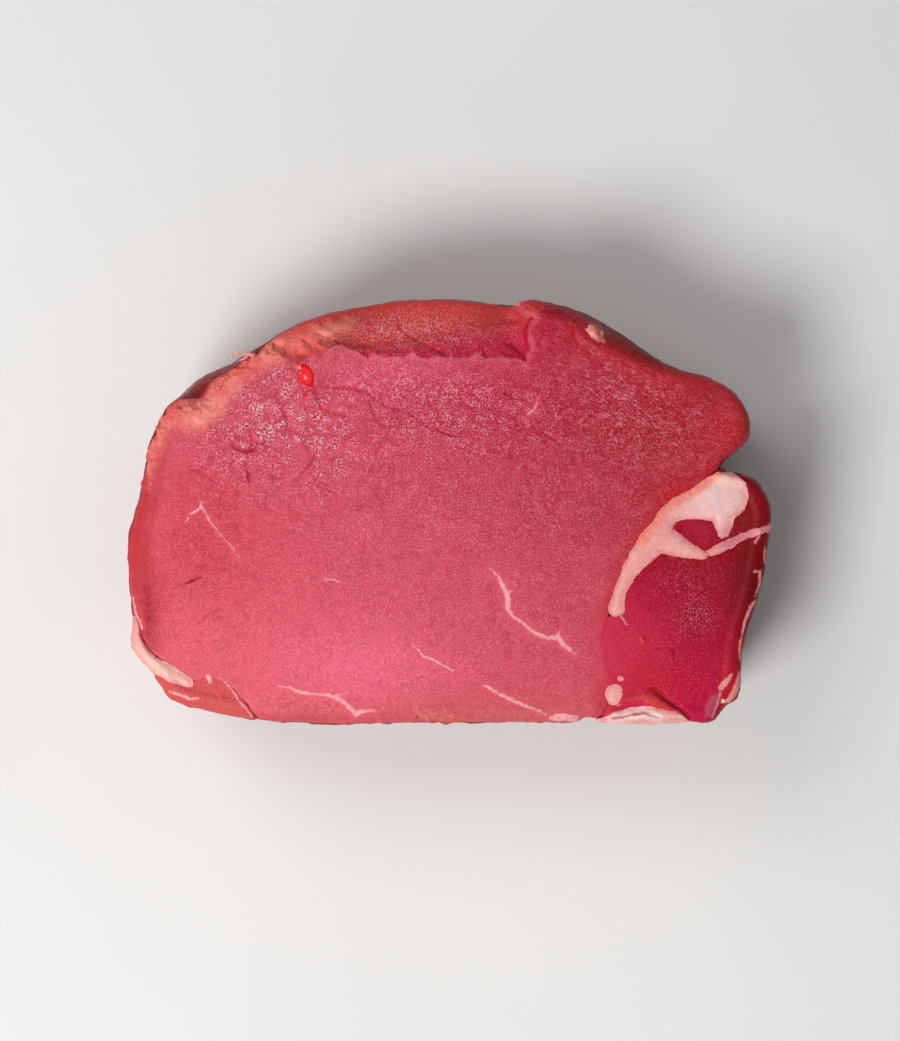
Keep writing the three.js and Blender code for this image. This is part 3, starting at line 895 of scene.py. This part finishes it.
sideLook = {
    **eyeLook,
    "washes": sideWashes,
    "bundle": 2.4,
    "speckLow": 0.56,
    "fleckAndGlintGain": 0.7,
    "grainTone": 0.45,
    "pale": tint(208, 48, 90),
    "deepAndShade": tint(162, 14, 60),
    "crack": tint(112, 8, 32),
    # painted shade in the side muscle's creases
    "groove": tint(132, 12, 40),
    "under": tint(156, 20, 50),
    "pit": tint(130, 12, 38),
    # painted glints
    "fleckAndGlint": tint(244, 160, 176),
    "rim": tint(176, 44, 46),
    "wallDark": tint(90, 8, 20),
    "wallLight": tint(124, 22, 38),
    "wallSkin": tint(126, 46, 60),
    "seamSide": tint(150, 26, 50),
    "seamStrength": 0.3,
    "lineStrength": 0.8,
    "orange": tint(222, 92, 74),
    "orangeDark": tint(196, 50, 54),
}
stripLook = {
    **eyeLook,
    "washes": stripWashes,
    "groove": tint(170, 50, 60),
    "pale": tint(214, 90, 92),
    "deepAndShade": tint(196, 62, 74),
    "rim": tint(212, 98, 94),
    "seamStrength": 0.2,
}
fatLook = {
    "washes": fatWashes,
    "body": tint(243, 162, 156),
    "white": tint(246, 188, 184),
    "rosy": tint(244, 142, 124),
    "stain": tint(226, 122, 120),
    "edge": tint(222, 106, 108),
    "glint": tint(252, 226, 226),
    "crease": tint(190, 74, 88),
    "deepFat": tint(214, 142, 130),
    "skin": tint(172, 82, 84),
    "lean": tint(128, 30, 40),
}

# Masks that the materials and the relief read

zones = {
    "crackle": [
        (-30, 14, 28, 20, 0, 1.0), (10, 20, 40, 18, 0, 0.6), (-50, -5, 12, 12, 0, 0.4),
        (0, 0, 70, 40, 0, 0.15)],
    "glint": [
        (-34, 17, 20, 13, -15, 0.95), (-4, 20, 32, 11, -4, 0.6), (30, 18, 20, 11, -20, 0.3),
        (0, 4, 56, 16, 0, 0.26), (-10, 36, 24, 5, 0, 0.8), (0, 0, 90, 60, 0, 0.16)],
    "calm": [
        (19, 36, 5, 6, 0, 0.8), (60, 17, 7, 9, 0, 0.7), (44, 30, 14, 4.5, -22, 0.6),
        (46, 4, 6, 5, 40, 0.5)],
    "streak": [(36, 21, 18, 9, -25, 0.7), (-2, 37, 16, 3, 5, 0.2)],
    "rimTone": [(-62, 0, 10, 34, 0, 1.0), (50, 24, 16, 12, 0, 0.6), (-30, -41, 40, 5, 0, 0.4)],
    # painted shade where the shelf and the upper rims lie in shadow
    "paintedShade": [
        (-20, 38.6, 7, 2.4, 8, 0.4), (9, 38.5, 5, 3, 0, 0.4), (38, 31.8, 12, 2.2, -24, 0.75),
        (50, 24.5, 6, 2.2, -30, 0.4)],
}
sideZones = {
    "crackle": [(46, -18, 14, 14, 0, 0.3)],
    "glint": [
        (49, -21, 4.5, 5, 0, 0.9), (47, -14, 9, 8, 0, 0.45), (46, -30, 14, 10, 0, 0.2),
        (56, -2, 8, 6, 0, 0.3)],
    "calm": [],
    "streak": [],
    "rimTone": [(60, -30, 8, 14, 0, 0.3)],
    # painted shade beside the side muscle's right rim
    "paintedShade": [(61, -9, 3.4, 9, 0, 0.6)],
}
shadeGradient = {"middle": 0.5, "alongX": 0.0055, "alongY": 0.0066}  # painted shade: paler to the lower left, darker to the upper right, as the key light falls
sideGradient = {"middle": -0.35, "alongX": 0.032, "alongY": 0.022}
foldPlace = [(18.6, 35.2, 3.4, 5.6, -10, 1.0)]  # the raised fold at the shelf's right end
shelfDipShade = [(12.9, 32.4, 2.6, 1.0, -32, 0.6)]  # painted shade in the dip beside it
lumpyPlace = [(-32, 33, 12, 5, 15, 1.0)]  # torn tissue at the upper left
fatNodes = ("seam_fat", "seam_fat_plug", "corner_fat", "flap_fat")
borders = {node: topBorder(node) for node in fatNodes}
bulges = {  # how far the rim, and the wall below it, stand out beyond the solids
    "rim": [(-58.9, 17.8, 3, 3, 0, -0.8)],
    "wall": [(-51.2, 24.4, 6, 4, 38, 1.9), (36, 33.4, 9, 3.5, -27, 0.8), (-64.3, -4.6, 3, 5, 0, 0.6)],
}
ridges = {  # height, the distances from the paths where it starts and is full, and the paths
    "everyMuscle": [(0.08, 0.3, -0.2, veins), (-0.05, 0.2, -0.15, slits)],
    "eyeMuscle": [(-0.1, 0.4, -0.3, grooves), (0.35, 0.2, -0.6, orangeNubs[:2])],
    "sideMuscle": [
        (-0.4, 0.6, -0.4, sideFolds[:1]), (-0.05, 0.4, -0.3, sideFolds[1:]), (0.45, 0.4, -0.7, [flapLip]),
        (0.35, 0.3, -0.3, orangeNubs[2:]), (0.22, 0.15, -0.2, membranes)],
}


def rimEnds(node):
    # where a piece of fat meets its neighbours on the rim
    corners = borders[node][0][:, :2]
    outer = corners[abs(outlineDistance(corners, rimLine)) < 1.2]
    if len(outer) < 2:
        return corners[:1] + 99
    gaps = np.hypot(*(outer[:, None] - outer[None]).transpose(2, 0, 1))
    return outer[list(np.unravel_index(gaps.argmax(), gaps.shape))]


def fatDistance(points):
    return np.min([segmentDistance(points, *borders[node]) for node in fatNodes[:2]], 0)


def pushOut(mesh):
    points, normals = pointsOf(mesh), normalsOf(mesh)
    below = smoothStep(41.6, 40.0, points[:, 2])
    amount = zone(points, bulges["rim"]) + below * zone(points, bulges["wall"])
    points[:, :2] += normals[:, :2] * amount[:, None]
    movePoints(mesh, points)


def faceLift(points, torn, name):
    # raised and sunken features of the upper cut face, in millimetres
    lift = np.zeros(len(points))
    for height, start, full, paths in ridges["everyMuscle"] + ridges.get(name, []):
        lift += height * smoothStep(start, full, pathsDistance(points, paths))
    if name == "eyeMuscle":
        lip = smoothStep(1.8, 0.7, torn) * smoothStep(0.0, 0.5, torn)
        lift += 0.12 * lip * (0.6 + 0.8 * ripple(points, 3.4, 3))
        lift += 0.12 * smoothStep(0.2, -0.6, outlineDistance(points, bloodSpot))
        lift += 0.9 * zone(points, foldPlace)
        lift += 0.25 * zone(points, lumpyPlace) * ripple(points, 2.6, 5)
        lift += 0.1 * smoothStep(1.5, -1.5, pathsDistance(points, orangeRim)) * ripple(points, 2.2, 8)
    return lift


def markTissue(piece, places, slope, washes):
    mesh = piece.data
    points, normals = pointsOf(mesh), normalsOf(mesh)
    height = points[:, 2]
    side = piece.name == "sideMuscle"
    away = np.full(len(points), 9.0)
    torn = tornDistance(points)
    rim = -outlineDistance(points, rimLine)
    under = smoothStep(0.3, 0.8, -normals[:, 2]) * smoothStep(4.0, 1.5, height)
    wall = smoothStep(1.3, 2.6, baseHeight(points, torn) - height) * (1 - under)
    upper = smoothStep(cut["faceFrom"] - 0.5, cut["faceFrom"] + 1.0, height) * (1 - wall)
    deepAndShade = slope["middle"] + slope["alongX"] * points[:, 0] + slope["alongY"] * points[:, 1]
    dry = pathsDistance(points, orangeNubs[2:] + [flapLip] if side else orangeRim + orangeNubs[:2])
    tearing = smoothStep(2.5, 0.5, abs(rim)) * smoothStep(cut["faceFrom"], cut["faceFrom"] + 4, height)
    masks = {
        "wall": wall,
        "upper": upper,
        "torn": torn,
        "rim": rim,
        "rimWidth": 1.0 + 4.0 * zone(points, places["rimTone"]),
        "vein": pathsDistance(points, veins),
        "slit": pathsDistance(points, slits),
        "groove": pathsDistance(points, sideFolds if side else grooves),
        "membrane": pathsDistance(points, membranes) if side else away,
        "silver": outlineDistance(points, silverPatch) if side else away,
        "orange": dry,
        "blood": outlineDistance(points, bloodSpot),
        "seam": fatDistance(points),
        "line": lineDistance(points, sideLine),
        "openStep": smoothStep(-30, -22, points[:, 0]),
        "shelfOrange": smoothStep(6.0, 0.8, rim) * 0.9,
        # painted shade in the dip beside the fold
        "fold": zone(points, shelfDipShade),
        # darker towards the upper right; on the eye and strip muscles, painted shade
        "deepAndShade": np.clip(deepAndShade, 0, 1.05),
        "rag": tearing * (0.35 + smoothStep(2.5, 0, dry)),
        "lift": faceLift(points, torn, piece.name) * upper,
    }
    masks.update({name: zone(points, spots) for name, spots in places.items()})
    masks["glint"] *= 1 - masks.pop("calm")
    masks.update({name: zone(points, spots) * upper for name, (_, spots) in washes.items()})
    saveMasks(mesh, masks)


relief = reliefTree()


def dressTop(mesh, near=0.9):
    # finer faces on top, then the exact heights of the cut face and of the shelf
    points = pointsOf(mesh)
    facing = normalsOf(mesh)[:, 2] > 0.3
    rim = abs(outlineDistance(points, rimLine))
    refine(mesh, (points[:, 2] > cut["faceFrom"]) & (facing | (rim < 2.5)))
    points = pointsOf(mesh)
    facing = (points[:, 2] > cut["faceFrom"]) & (normalsOf(mesh)[:, 2] > 0.3)
    marks = veins + slits + grooves + membranes + sideFolds + orangeNubs
    feature = np.minimum(pathsDistance(points, marks), abs(outlineDistance(points, bloodSpot)))
    feature = np.minimum(feature, abs(tornDistance(points)))
    tearing = (points[:, 2] > cut["rimFrom"]) & (pathsDistance(points, orangeRim) < 1)
    tearing &= abs(outlineDistance(points, rimLine)) < 2
    refine(mesh, (facing & (feature < near)) | tearing)
    relax(mesh, 4)
    points = pointsOf(mesh)
    top = baseHeight(points, tornDistance(points))
    onFace = smoothStep(1.9, 3.0, -outlineDistance(points, rimLine)) * (points[:, 2] > cut["faceFrom"])
    depth = top - points[:, 2]
    rounding = 2.2  # down to here a cut edge is drawn up, so that tissues meet flush
    drawn = np.where(depth < 0, 0, depth * (depth / rounding) ** 3)
    target = np.where(depth < rounding, top - drawn, points[:, 2])
    points[:, 2] += (target - points[:, 2]) * onFace
    movePoints(mesh, points)


def finishPiece(piece, nodes=(), sharpest=58.0):
    mesh = piece.data
    points = pointsOf(mesh)
    points[:, 2] = np.maximum(points[:, 2], 0)
    movePoints(mesh, points)
    mesh.polygons.foreach_set("use_smooth", np.ones(len(mesh.polygons), bool))
    mesh.set_sharp_from_angle(angle=math.radians(sharpest))
    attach(piece, "root")
    if nodes:
        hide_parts(*nodes)
    print(piece.name, "made,", sum(len(polygon.vertices) - 2 for polygon in mesh.polygons), "triangles")


meats = {  # by slot
    "eye_meat": {"look": eyeLook, "zones": zones, "slope": shadeGradient},
    "side_meat": {"look": sideLook, "zones": sideZones, "slope": sideGradient},
    "strip_meat": {"look": stripLook, "zones": zones, "slope": shadeGradient},
}
tissues = {
    "eyeMuscle": {
        "node": "eye_muscle", "slot": "eye_meat", "voxel": 0.95, "swell": 0.3,
        "relief": {"Wave Height": 0.25, "Cell Depth": 0.05, "Rag Size": 2.0, "Rag Reach": 2.4}},
    "sideMuscle": {
        "node": "side_muscle", "slot": "side_meat", "voxel": 0.6, "swell": 0.3,
        "relief": {"Wave Height": 0.4, "Wave Size": 7.0, "Cell Depth": 0.05, "Rag Reach": 0.8}},
    "sideMuscleTip": {
        "node": "side_muscle_tip", "slot": "side_meat", "voxel": 0.5, "swell": 0.3,
        "relief": {"Wave Height": 0.3, "Cell Depth": 0.05, "Rag Reach": 0.8}},
    "stripMuscle": {
        "node": "strip_muscle", "slot": "strip_meat", "voxel": 0.5, "swell": 0.45,
        "relief": {"Wave Height": 0.2, "Cell Depth": 0.05, "Rag Reach": 0.8}},
}
for name, plan in tissues.items():
    meat = meats[plan["slot"]]
    piece = tissueFrom(name, plan["node"], plan["swell"], plan["voxel"])
    relax(piece.data, 10)
    if name == "eyeMuscle":
        pushOut(piece.data)
    dressTop(piece.data)
    markTissue(piece, meat["zones"], meat["slope"], meat["look"]["washes"])
    runTree(piece, relief, {**plan["relief"], "Material": muscleMaterial(name + "Meat", meat["look"])})
    finishPiece(piece, [plan["node"]])

fats = {
    "seamFat": {"node": "seam_fat", "voxel": 0.4, "swell": 0.3, "proud": 0.25},
    "seamFatPlug": {"node": "seam_fat_plug", "voxel": 0.35, "swell": 0.3, "proud": 0.15},
    "cornerFat": {"node": "corner_fat", "voxel": 0.4, "swell": 0.4, "proud": 0.5},
    "flapFat": {"node": "flap_fat", "voxel": 0.4, "swell": 0.4, "proud": 0.6},
}
fatRelief = {"Wave Size": 4.0, "Wave Height": 0.15, "Cell Depth": 0.0, "Fibre Height": 0.6,
             "Grain Height": 0.0, "Rag Size": 1.8, "Rag Reach": 0.6}
salmonEdge = [(53.0, 8.4), (50.4, 5.6), (46.8, 3.4), (43.0, 1.2), (40.4, -2.2), (38.2, -5.6)]


def dressFat(mesh, node, proud):
    # stands a little proud of the face, and falls off towards its edges
    points = pointsOf(mesh)
    top = faceMap.at(points)
    inward = segmentDistance(points, *borders[node])
    proud = proud + 0.35 * zone(points, fatWashes["knob"][1])
    onFace = smoothStep(0.8, 2.6, -outlineDistance(points, rimLine)) * (points[:, 2] > cut["faceFrom"])
    rounding = 2.0
    depth = top + 0.7 - points[:, 2]
    target = top + proud * smoothStep(-0.2, 1.6, inward) - np.maximum(depth, 0) * (depth / rounding) ** 3
    points[:, 2] += np.where(depth < rounding, target - points[:, 2], 0) * onFace
    movePoints(mesh, points)


def markFat(mesh, node):
    points = pointsOf(mesh)
    height, rimFrom = points[:, 2], cut["rimFrom"]
    crease = pathsDistance(points, fatCreases)
    raised = smoothStep(rimFrom, rimFrom + 2, height)
    saveMasks(mesh, {
        "wall": smoothStep(1.2, 3.0, faceMap.at(points) - height),
        "inward": np.where(height > rimFrom, segmentDistance(points, *borders[node]), 9.0),
        "ends": np.min([np.hypot(*(points[:, :2] - end).T) for end in rimEnds(node)], 0),
        "drop": smoothStep(rimFrom, 6, height),
        "rag": np.ones(len(points)),
        "crease": crease,
        "pleat": lineDistance(points, fatCreases[0]),
        "lift": (0.05 * ripple(points, 3.4, 21) - 0.25 * smoothStep(0.5, -0.2, crease)) * raised,
        "rosy": smoothStep(2.8, 0.2, lineDistance(points, salmonEdge)),
        **{name: zone(points, spots) for name, (_, spots) in fatWashes.items()}})


seamFat = fatMaterial("seamFat", fatLook)
for name, plan in fats.items():
    piece = tissueFrom(name, plan["node"], plan["swell"], plan["voxel"])
    relax(piece.data, 8)
    dressFat(piece.data, plan["node"], plan["proud"])
    markFat(piece.data, plan["node"])
    runTree(piece, relief, {**fatRelief, "Material": seamFat})
    finishPiece(piece, [plan["node"]])


# Frayed fibres along torn rims: flat tapered shreds that point outwards

def frayTree():
    bench, port = startTree("frayedFibres", {
        "Spacing": 0.6, "Length": 1.4, "Width": 0.35, "Spread": 0.5, "Droop": 0.3, "Seed": 1})

    def randomValue(low, high, step):
        return bench.add("FunctionNodeRandomValue", {"data_type": "FLOAT"}, {
            2: low, 3: high, "Seed": port("Seed") + step}, 1)

    line = bench.add("GeometryNodeMeshToCurve", {}, {"Mesh": port("Geometry")})
    spots = bench.add("GeometryNodeCurveToPoints", {"mode": "LENGTH"}, {
        "Curve": line, "Length": port("Spacing") * metre})
    tangents = Wire(spots.socket.node.outputs["Tangent"])
    shred = bench.add("GeometryNodeMeshCone", {}, {
        "Vertices": 6, "Side Segments": 4, "Radius Top": 0.12, "Radius Bottom": 1.0, "Depth": 2.0})
    bend = bench.vector("MULTIPLY", bench.add("GeometryNodeInputPosition"), (1.0, 0.45, 1.0))
    shred = bench.add("GeometryNodeSetPosition", {}, {"Geometry": shred, "Position": bend})
    # each shred's long axis points to the left of the path
    turn = bench.add("FunctionNodeAxesToRotation", {"primary_axis": "X", "secondary_axis": "Y"}, {
        0: tangents, 1: (0.0, 0.0, -1.0)})
    spread = bench.add("ShaderNodeCombineXYZ", {}, {
        0: randomValue(-0.3, 0.5, 1) - port("Droop"), 1: randomValue(-1.0, 1.0, 2) * port("Spread"), 2: 0.0})
    turn = bench.add("FunctionNodeRotateRotation", {"rotation_space": "LOCAL"}, {
        0: turn, 1: bench.add("FunctionNodeEulerToRotation", {}, {0: spread})})
    size = bench.add("ShaderNodeCombineXYZ", {}, {
        0: randomValue(0.5, 1.3, 3) * port("Width"), 1: randomValue(0.6, 1.2, 4) * port("Width"),
        2: randomValue(0.25, 0.7, 5) * port("Length")})
    placed = bench.add("GeometryNodeInstanceOnPoints", {}, {
        "Points": spots, "Instance": shred, "Rotation": turn, "Scale": bench.vector("SCALE", size, metre)})
    return endTree(bench, placed, port("Material"))


shredLooks = {
    "orange": shredMaterial("driedFibre", tint(212, 88, 74), tint(238, 130, 108)),
    "pale": shredMaterial("paleSkin", tint(226, 140, 124), tint(240, 190, 176)),
    "lump": shredMaterial("rimFat", tint(196, 104, 96), tint(226, 146, 132)),
}
rimShreds = {
    "path": [
        (-54.9, 20.2, 41.5), (-53, 20, 41.6), (-51, 20.6, 41.6), (-49.4, 19.6, 41.6), (-47.9, 20.4, 41.6),
        (-46.9, 22.8, 41.6), (-46, 25, 41.6), (-43.6, 27.4, 41.6), (-40.6, 29.6, 41.6)],
    "values": {"Spacing": 0.7, "Length": 0.8, "Width": 0.5, "Spread": 0.6, "Seed": 3},
}
mesh = bpy.data.meshes.new("rimShreds")
corners = [Vector(point) * metre for point in rimShreds["path"]]
mesh.from_pydata(corners, [(i, i + 1) for i in range(len(corners) - 1)], [])
piece = newObject("rimShreds", mesh)
runTree(piece, frayTree(), {**rimShreds["values"], "Material": shredLooks["orange"]})
finishPiece(piece)


# Small pieces shaped one by one

def strand(name, path, flatness=0.6, sides=10, steps=4):
    # a closed, tapering strand along points of x, y, z and half width
    path = np.array(path, float)
    count = (len(path) - 1) * steps + 1
    at = np.linspace(0, len(path) - 1, count)
    spine = np.stack([np.interp(at, range(len(path)), path[:, axis]) for axis in range(4)], 1)
    for _ in range(2):
        spine[1:-1] = (spine[:-2] + 2 * spine[1:-1] + spine[2:]) / 4
    work = bmesh.new()
    rings = []
    for index, (x, y, z, width) in enumerate(spine):
        ahead = spine[min(index + 1, count - 1), :3] - spine[max(index - 1, 0), :3]
        along = Vector(ahead).normalized()
        across = along.cross(Vector((0, 0, 1))).normalized()
        rise = across.cross(along)
        ring = []
        for side in range(sides):
            angle = 2 * math.pi * side / sides
            reach = across * math.cos(angle) + rise * (flatness * math.sin(angle))
            ring.append(work.verts.new((Vector((x, y, z)) + reach * width) * metre))
        rings.append(ring)
    for before, after in zip(rings, rings[1:]):
        for side in range(sides):
            other = (side + 1) % sides
            work.faces.new((before[side], before[other], after[other], after[side]))
    work.faces.new(rings[0])
    work.faces.new(rings[-1])
    bmesh.ops.recalc_face_normals(work, faces=work.faces)
    mesh = bpy.data.meshes.new(name)
    work.to_mesh(mesh)
    work.free()
    return newObject(name, mesh)


def blob(name, centre, radii, turn, seed):
    # a lump of fat: a round form pushed in and out by soft ripples
    work = bmesh.new()
    bmesh.ops.create_icosphere(work, subdivisions=4, radius=1.0)
    points = np.array([vertex.co[:] for vertex in work.verts])
    spread = 1 + 0.16 * ripple(points, 1.3, seed) + 0.07 * ripple(points, 0.5, seed + 1)
    spin = Matrix.Rotation(math.radians(turn), 3, "Z")
    for vertex, share in zip(work.verts, spread):
        shaped = Vector(a * b for a, b in zip(vertex.co * share, radii))
        vertex.co = (spin @ shaped + Vector(centre)) * metre
    mesh = bpy.data.meshes.new(name)
    work.to_mesh(mesh)
    work.free()
    return newObject(name, mesh)


strands = {  # points of x, y, z and half width, then the look
    "tendonShred": ([
        (-39.2, 31, 41.9, .5), (-40.5, 31.4, 42, .34), (-42.1, 31.2, 41.9, .28), (-42.9, 31.7, 41.8, .22),
        (-43.9, 31.1, 41.7, .2), (-43.7, 30.3, 41.6, .12)], "pale"),
    "tendonSplit": ([(-40.4, 31.2, 41.9, .3), (-41.4, 30.4, 41.7, .22), (-42.3, 30.1, 41.5, .1)], "pale"),
    "skinLine": ([(24.8, 38.2, 41, .22), (25.8, 37.2, 41.4, .26), (27, 36.3, 41.6, .3)], "lump"),
    "skinTail": ([(30, 34.4, 41.4, .3), (31.8, 33.3, 41.2, .2), (33.2, 32.7, 40.9, .12)], "lump"),
}
lumps = {  # centre, radii, turn, look, slot
    "rimFatLump": ((28.6, 35.0, 41.1), (2.9, 1.8, 1.1), -28, "lump", "fat"),
    "sideSpeck": ((38.5, -25.7, 41.8), (0.65, 0.45, 0.5), -20, "orange", "side_meat"),
    "foldNub": ((13.9, 41.3, 40.6), (0.7, 0.9, 0.7), 10, "orange", "eye_meat"),
    "sideNub": ((54.4, -37.8, 41.7), (0.9, 0.6, 0.5), -35, "pale", "side_meat"),
    "sidePatch": ((54.9, -34.2, 42.0), (1.5, 0.5, 0.35), 48, "pale", "side_meat"),
}


def finishSmall(piece, look):
    piece.data.materials.append(shredLooks[look])
    finishPiece(piece)


for name, (path, look) in strands.items():
    finishSmall(strand(name, path), look)
for seed, (name, (centre, radii, turn, look, slot)) in enumerate(lumps.items(), 4):
    finishSmall(blob(name, centre, radii, turn, seed), look)


# Floor, lights and camera

lamps = {  # place and size in metres, and power
    "key": ((-0.35, -0.4, 0.75), 0.35, 5.2),
    "fill": ((-0.45, 0.38, 0.75), 0.5, 1.9),
}


def floorMaterial():
    material, bench = newMaterial("paleFloor")
    place = bench.add("ShaderNodeTexCoord", {}, {}, 3)
    soft = bench.noise(place, 6.0, 3.0).between(0.3, 0.7)
    colour = bench.mix(soft, tint(232, 231, 229), tint(238, 237, 235))
    finishMaterial(bench, {"Base Color": colour, "Roughness": 0.85})
    return material


def addFloor(halfSize=1.5):
    mesh = bpy.data.meshes.new("floor")
    corners = [(x * halfSize, y * halfSize, 0) for x, y in ((-1, -1), (1, -1), (1, 1), (-1, 1))]
    mesh.from_pydata(corners, [], [(0, 1, 2, 3)])
    mesh.materials.append(floorMaterial())
    floor = newObject("floor", mesh)
    floor.location.z = -studio["floorGap"]


def addCamera():
    data = bpy.data.cameras.new("view")
    data.sensor_width = camera["sensor"]
    data.lens = camera["sensor"] * camera["height"] / camera["framedHeight"]
    view = newObject("view", data)
    view.location = Vector((*camera["aim"], cut["thickness"] + camera["height"])) * metre
    bpy.context.scene.camera = view


def addLight(name, place, size, power):
    data = bpy.data.lights.new(name, "AREA")
    data.shape = "DISK"
    data.size = size
    data.energy = power
    lamp = newObject(name, data)
    lamp.location = place
    lamp.rotation_euler = (Vector((0, 0, 0.03)) - lamp.location).to_track_quat("-Z", "Y").to_euler()


def addWorld(strength):
    world = bpy.data.worlds.new("studio")
    world.use_nodes = True
    ground = world.node_tree.nodes["Background"]
    ground.inputs["Color"].default_value = (1.0, 1.0, 1.0, 1.0)
    ground.inputs["Strength"].default_value = strength
    bpy.context.scene.world = world


addFloor()
addCamera()
for name, lamp in lamps.items():
    addLight(name, *lamp)
addWorld(studio["sky"])
bpy.context.scene.view_settings.view_transform = "Standard"
print("floor, camera and lights made")
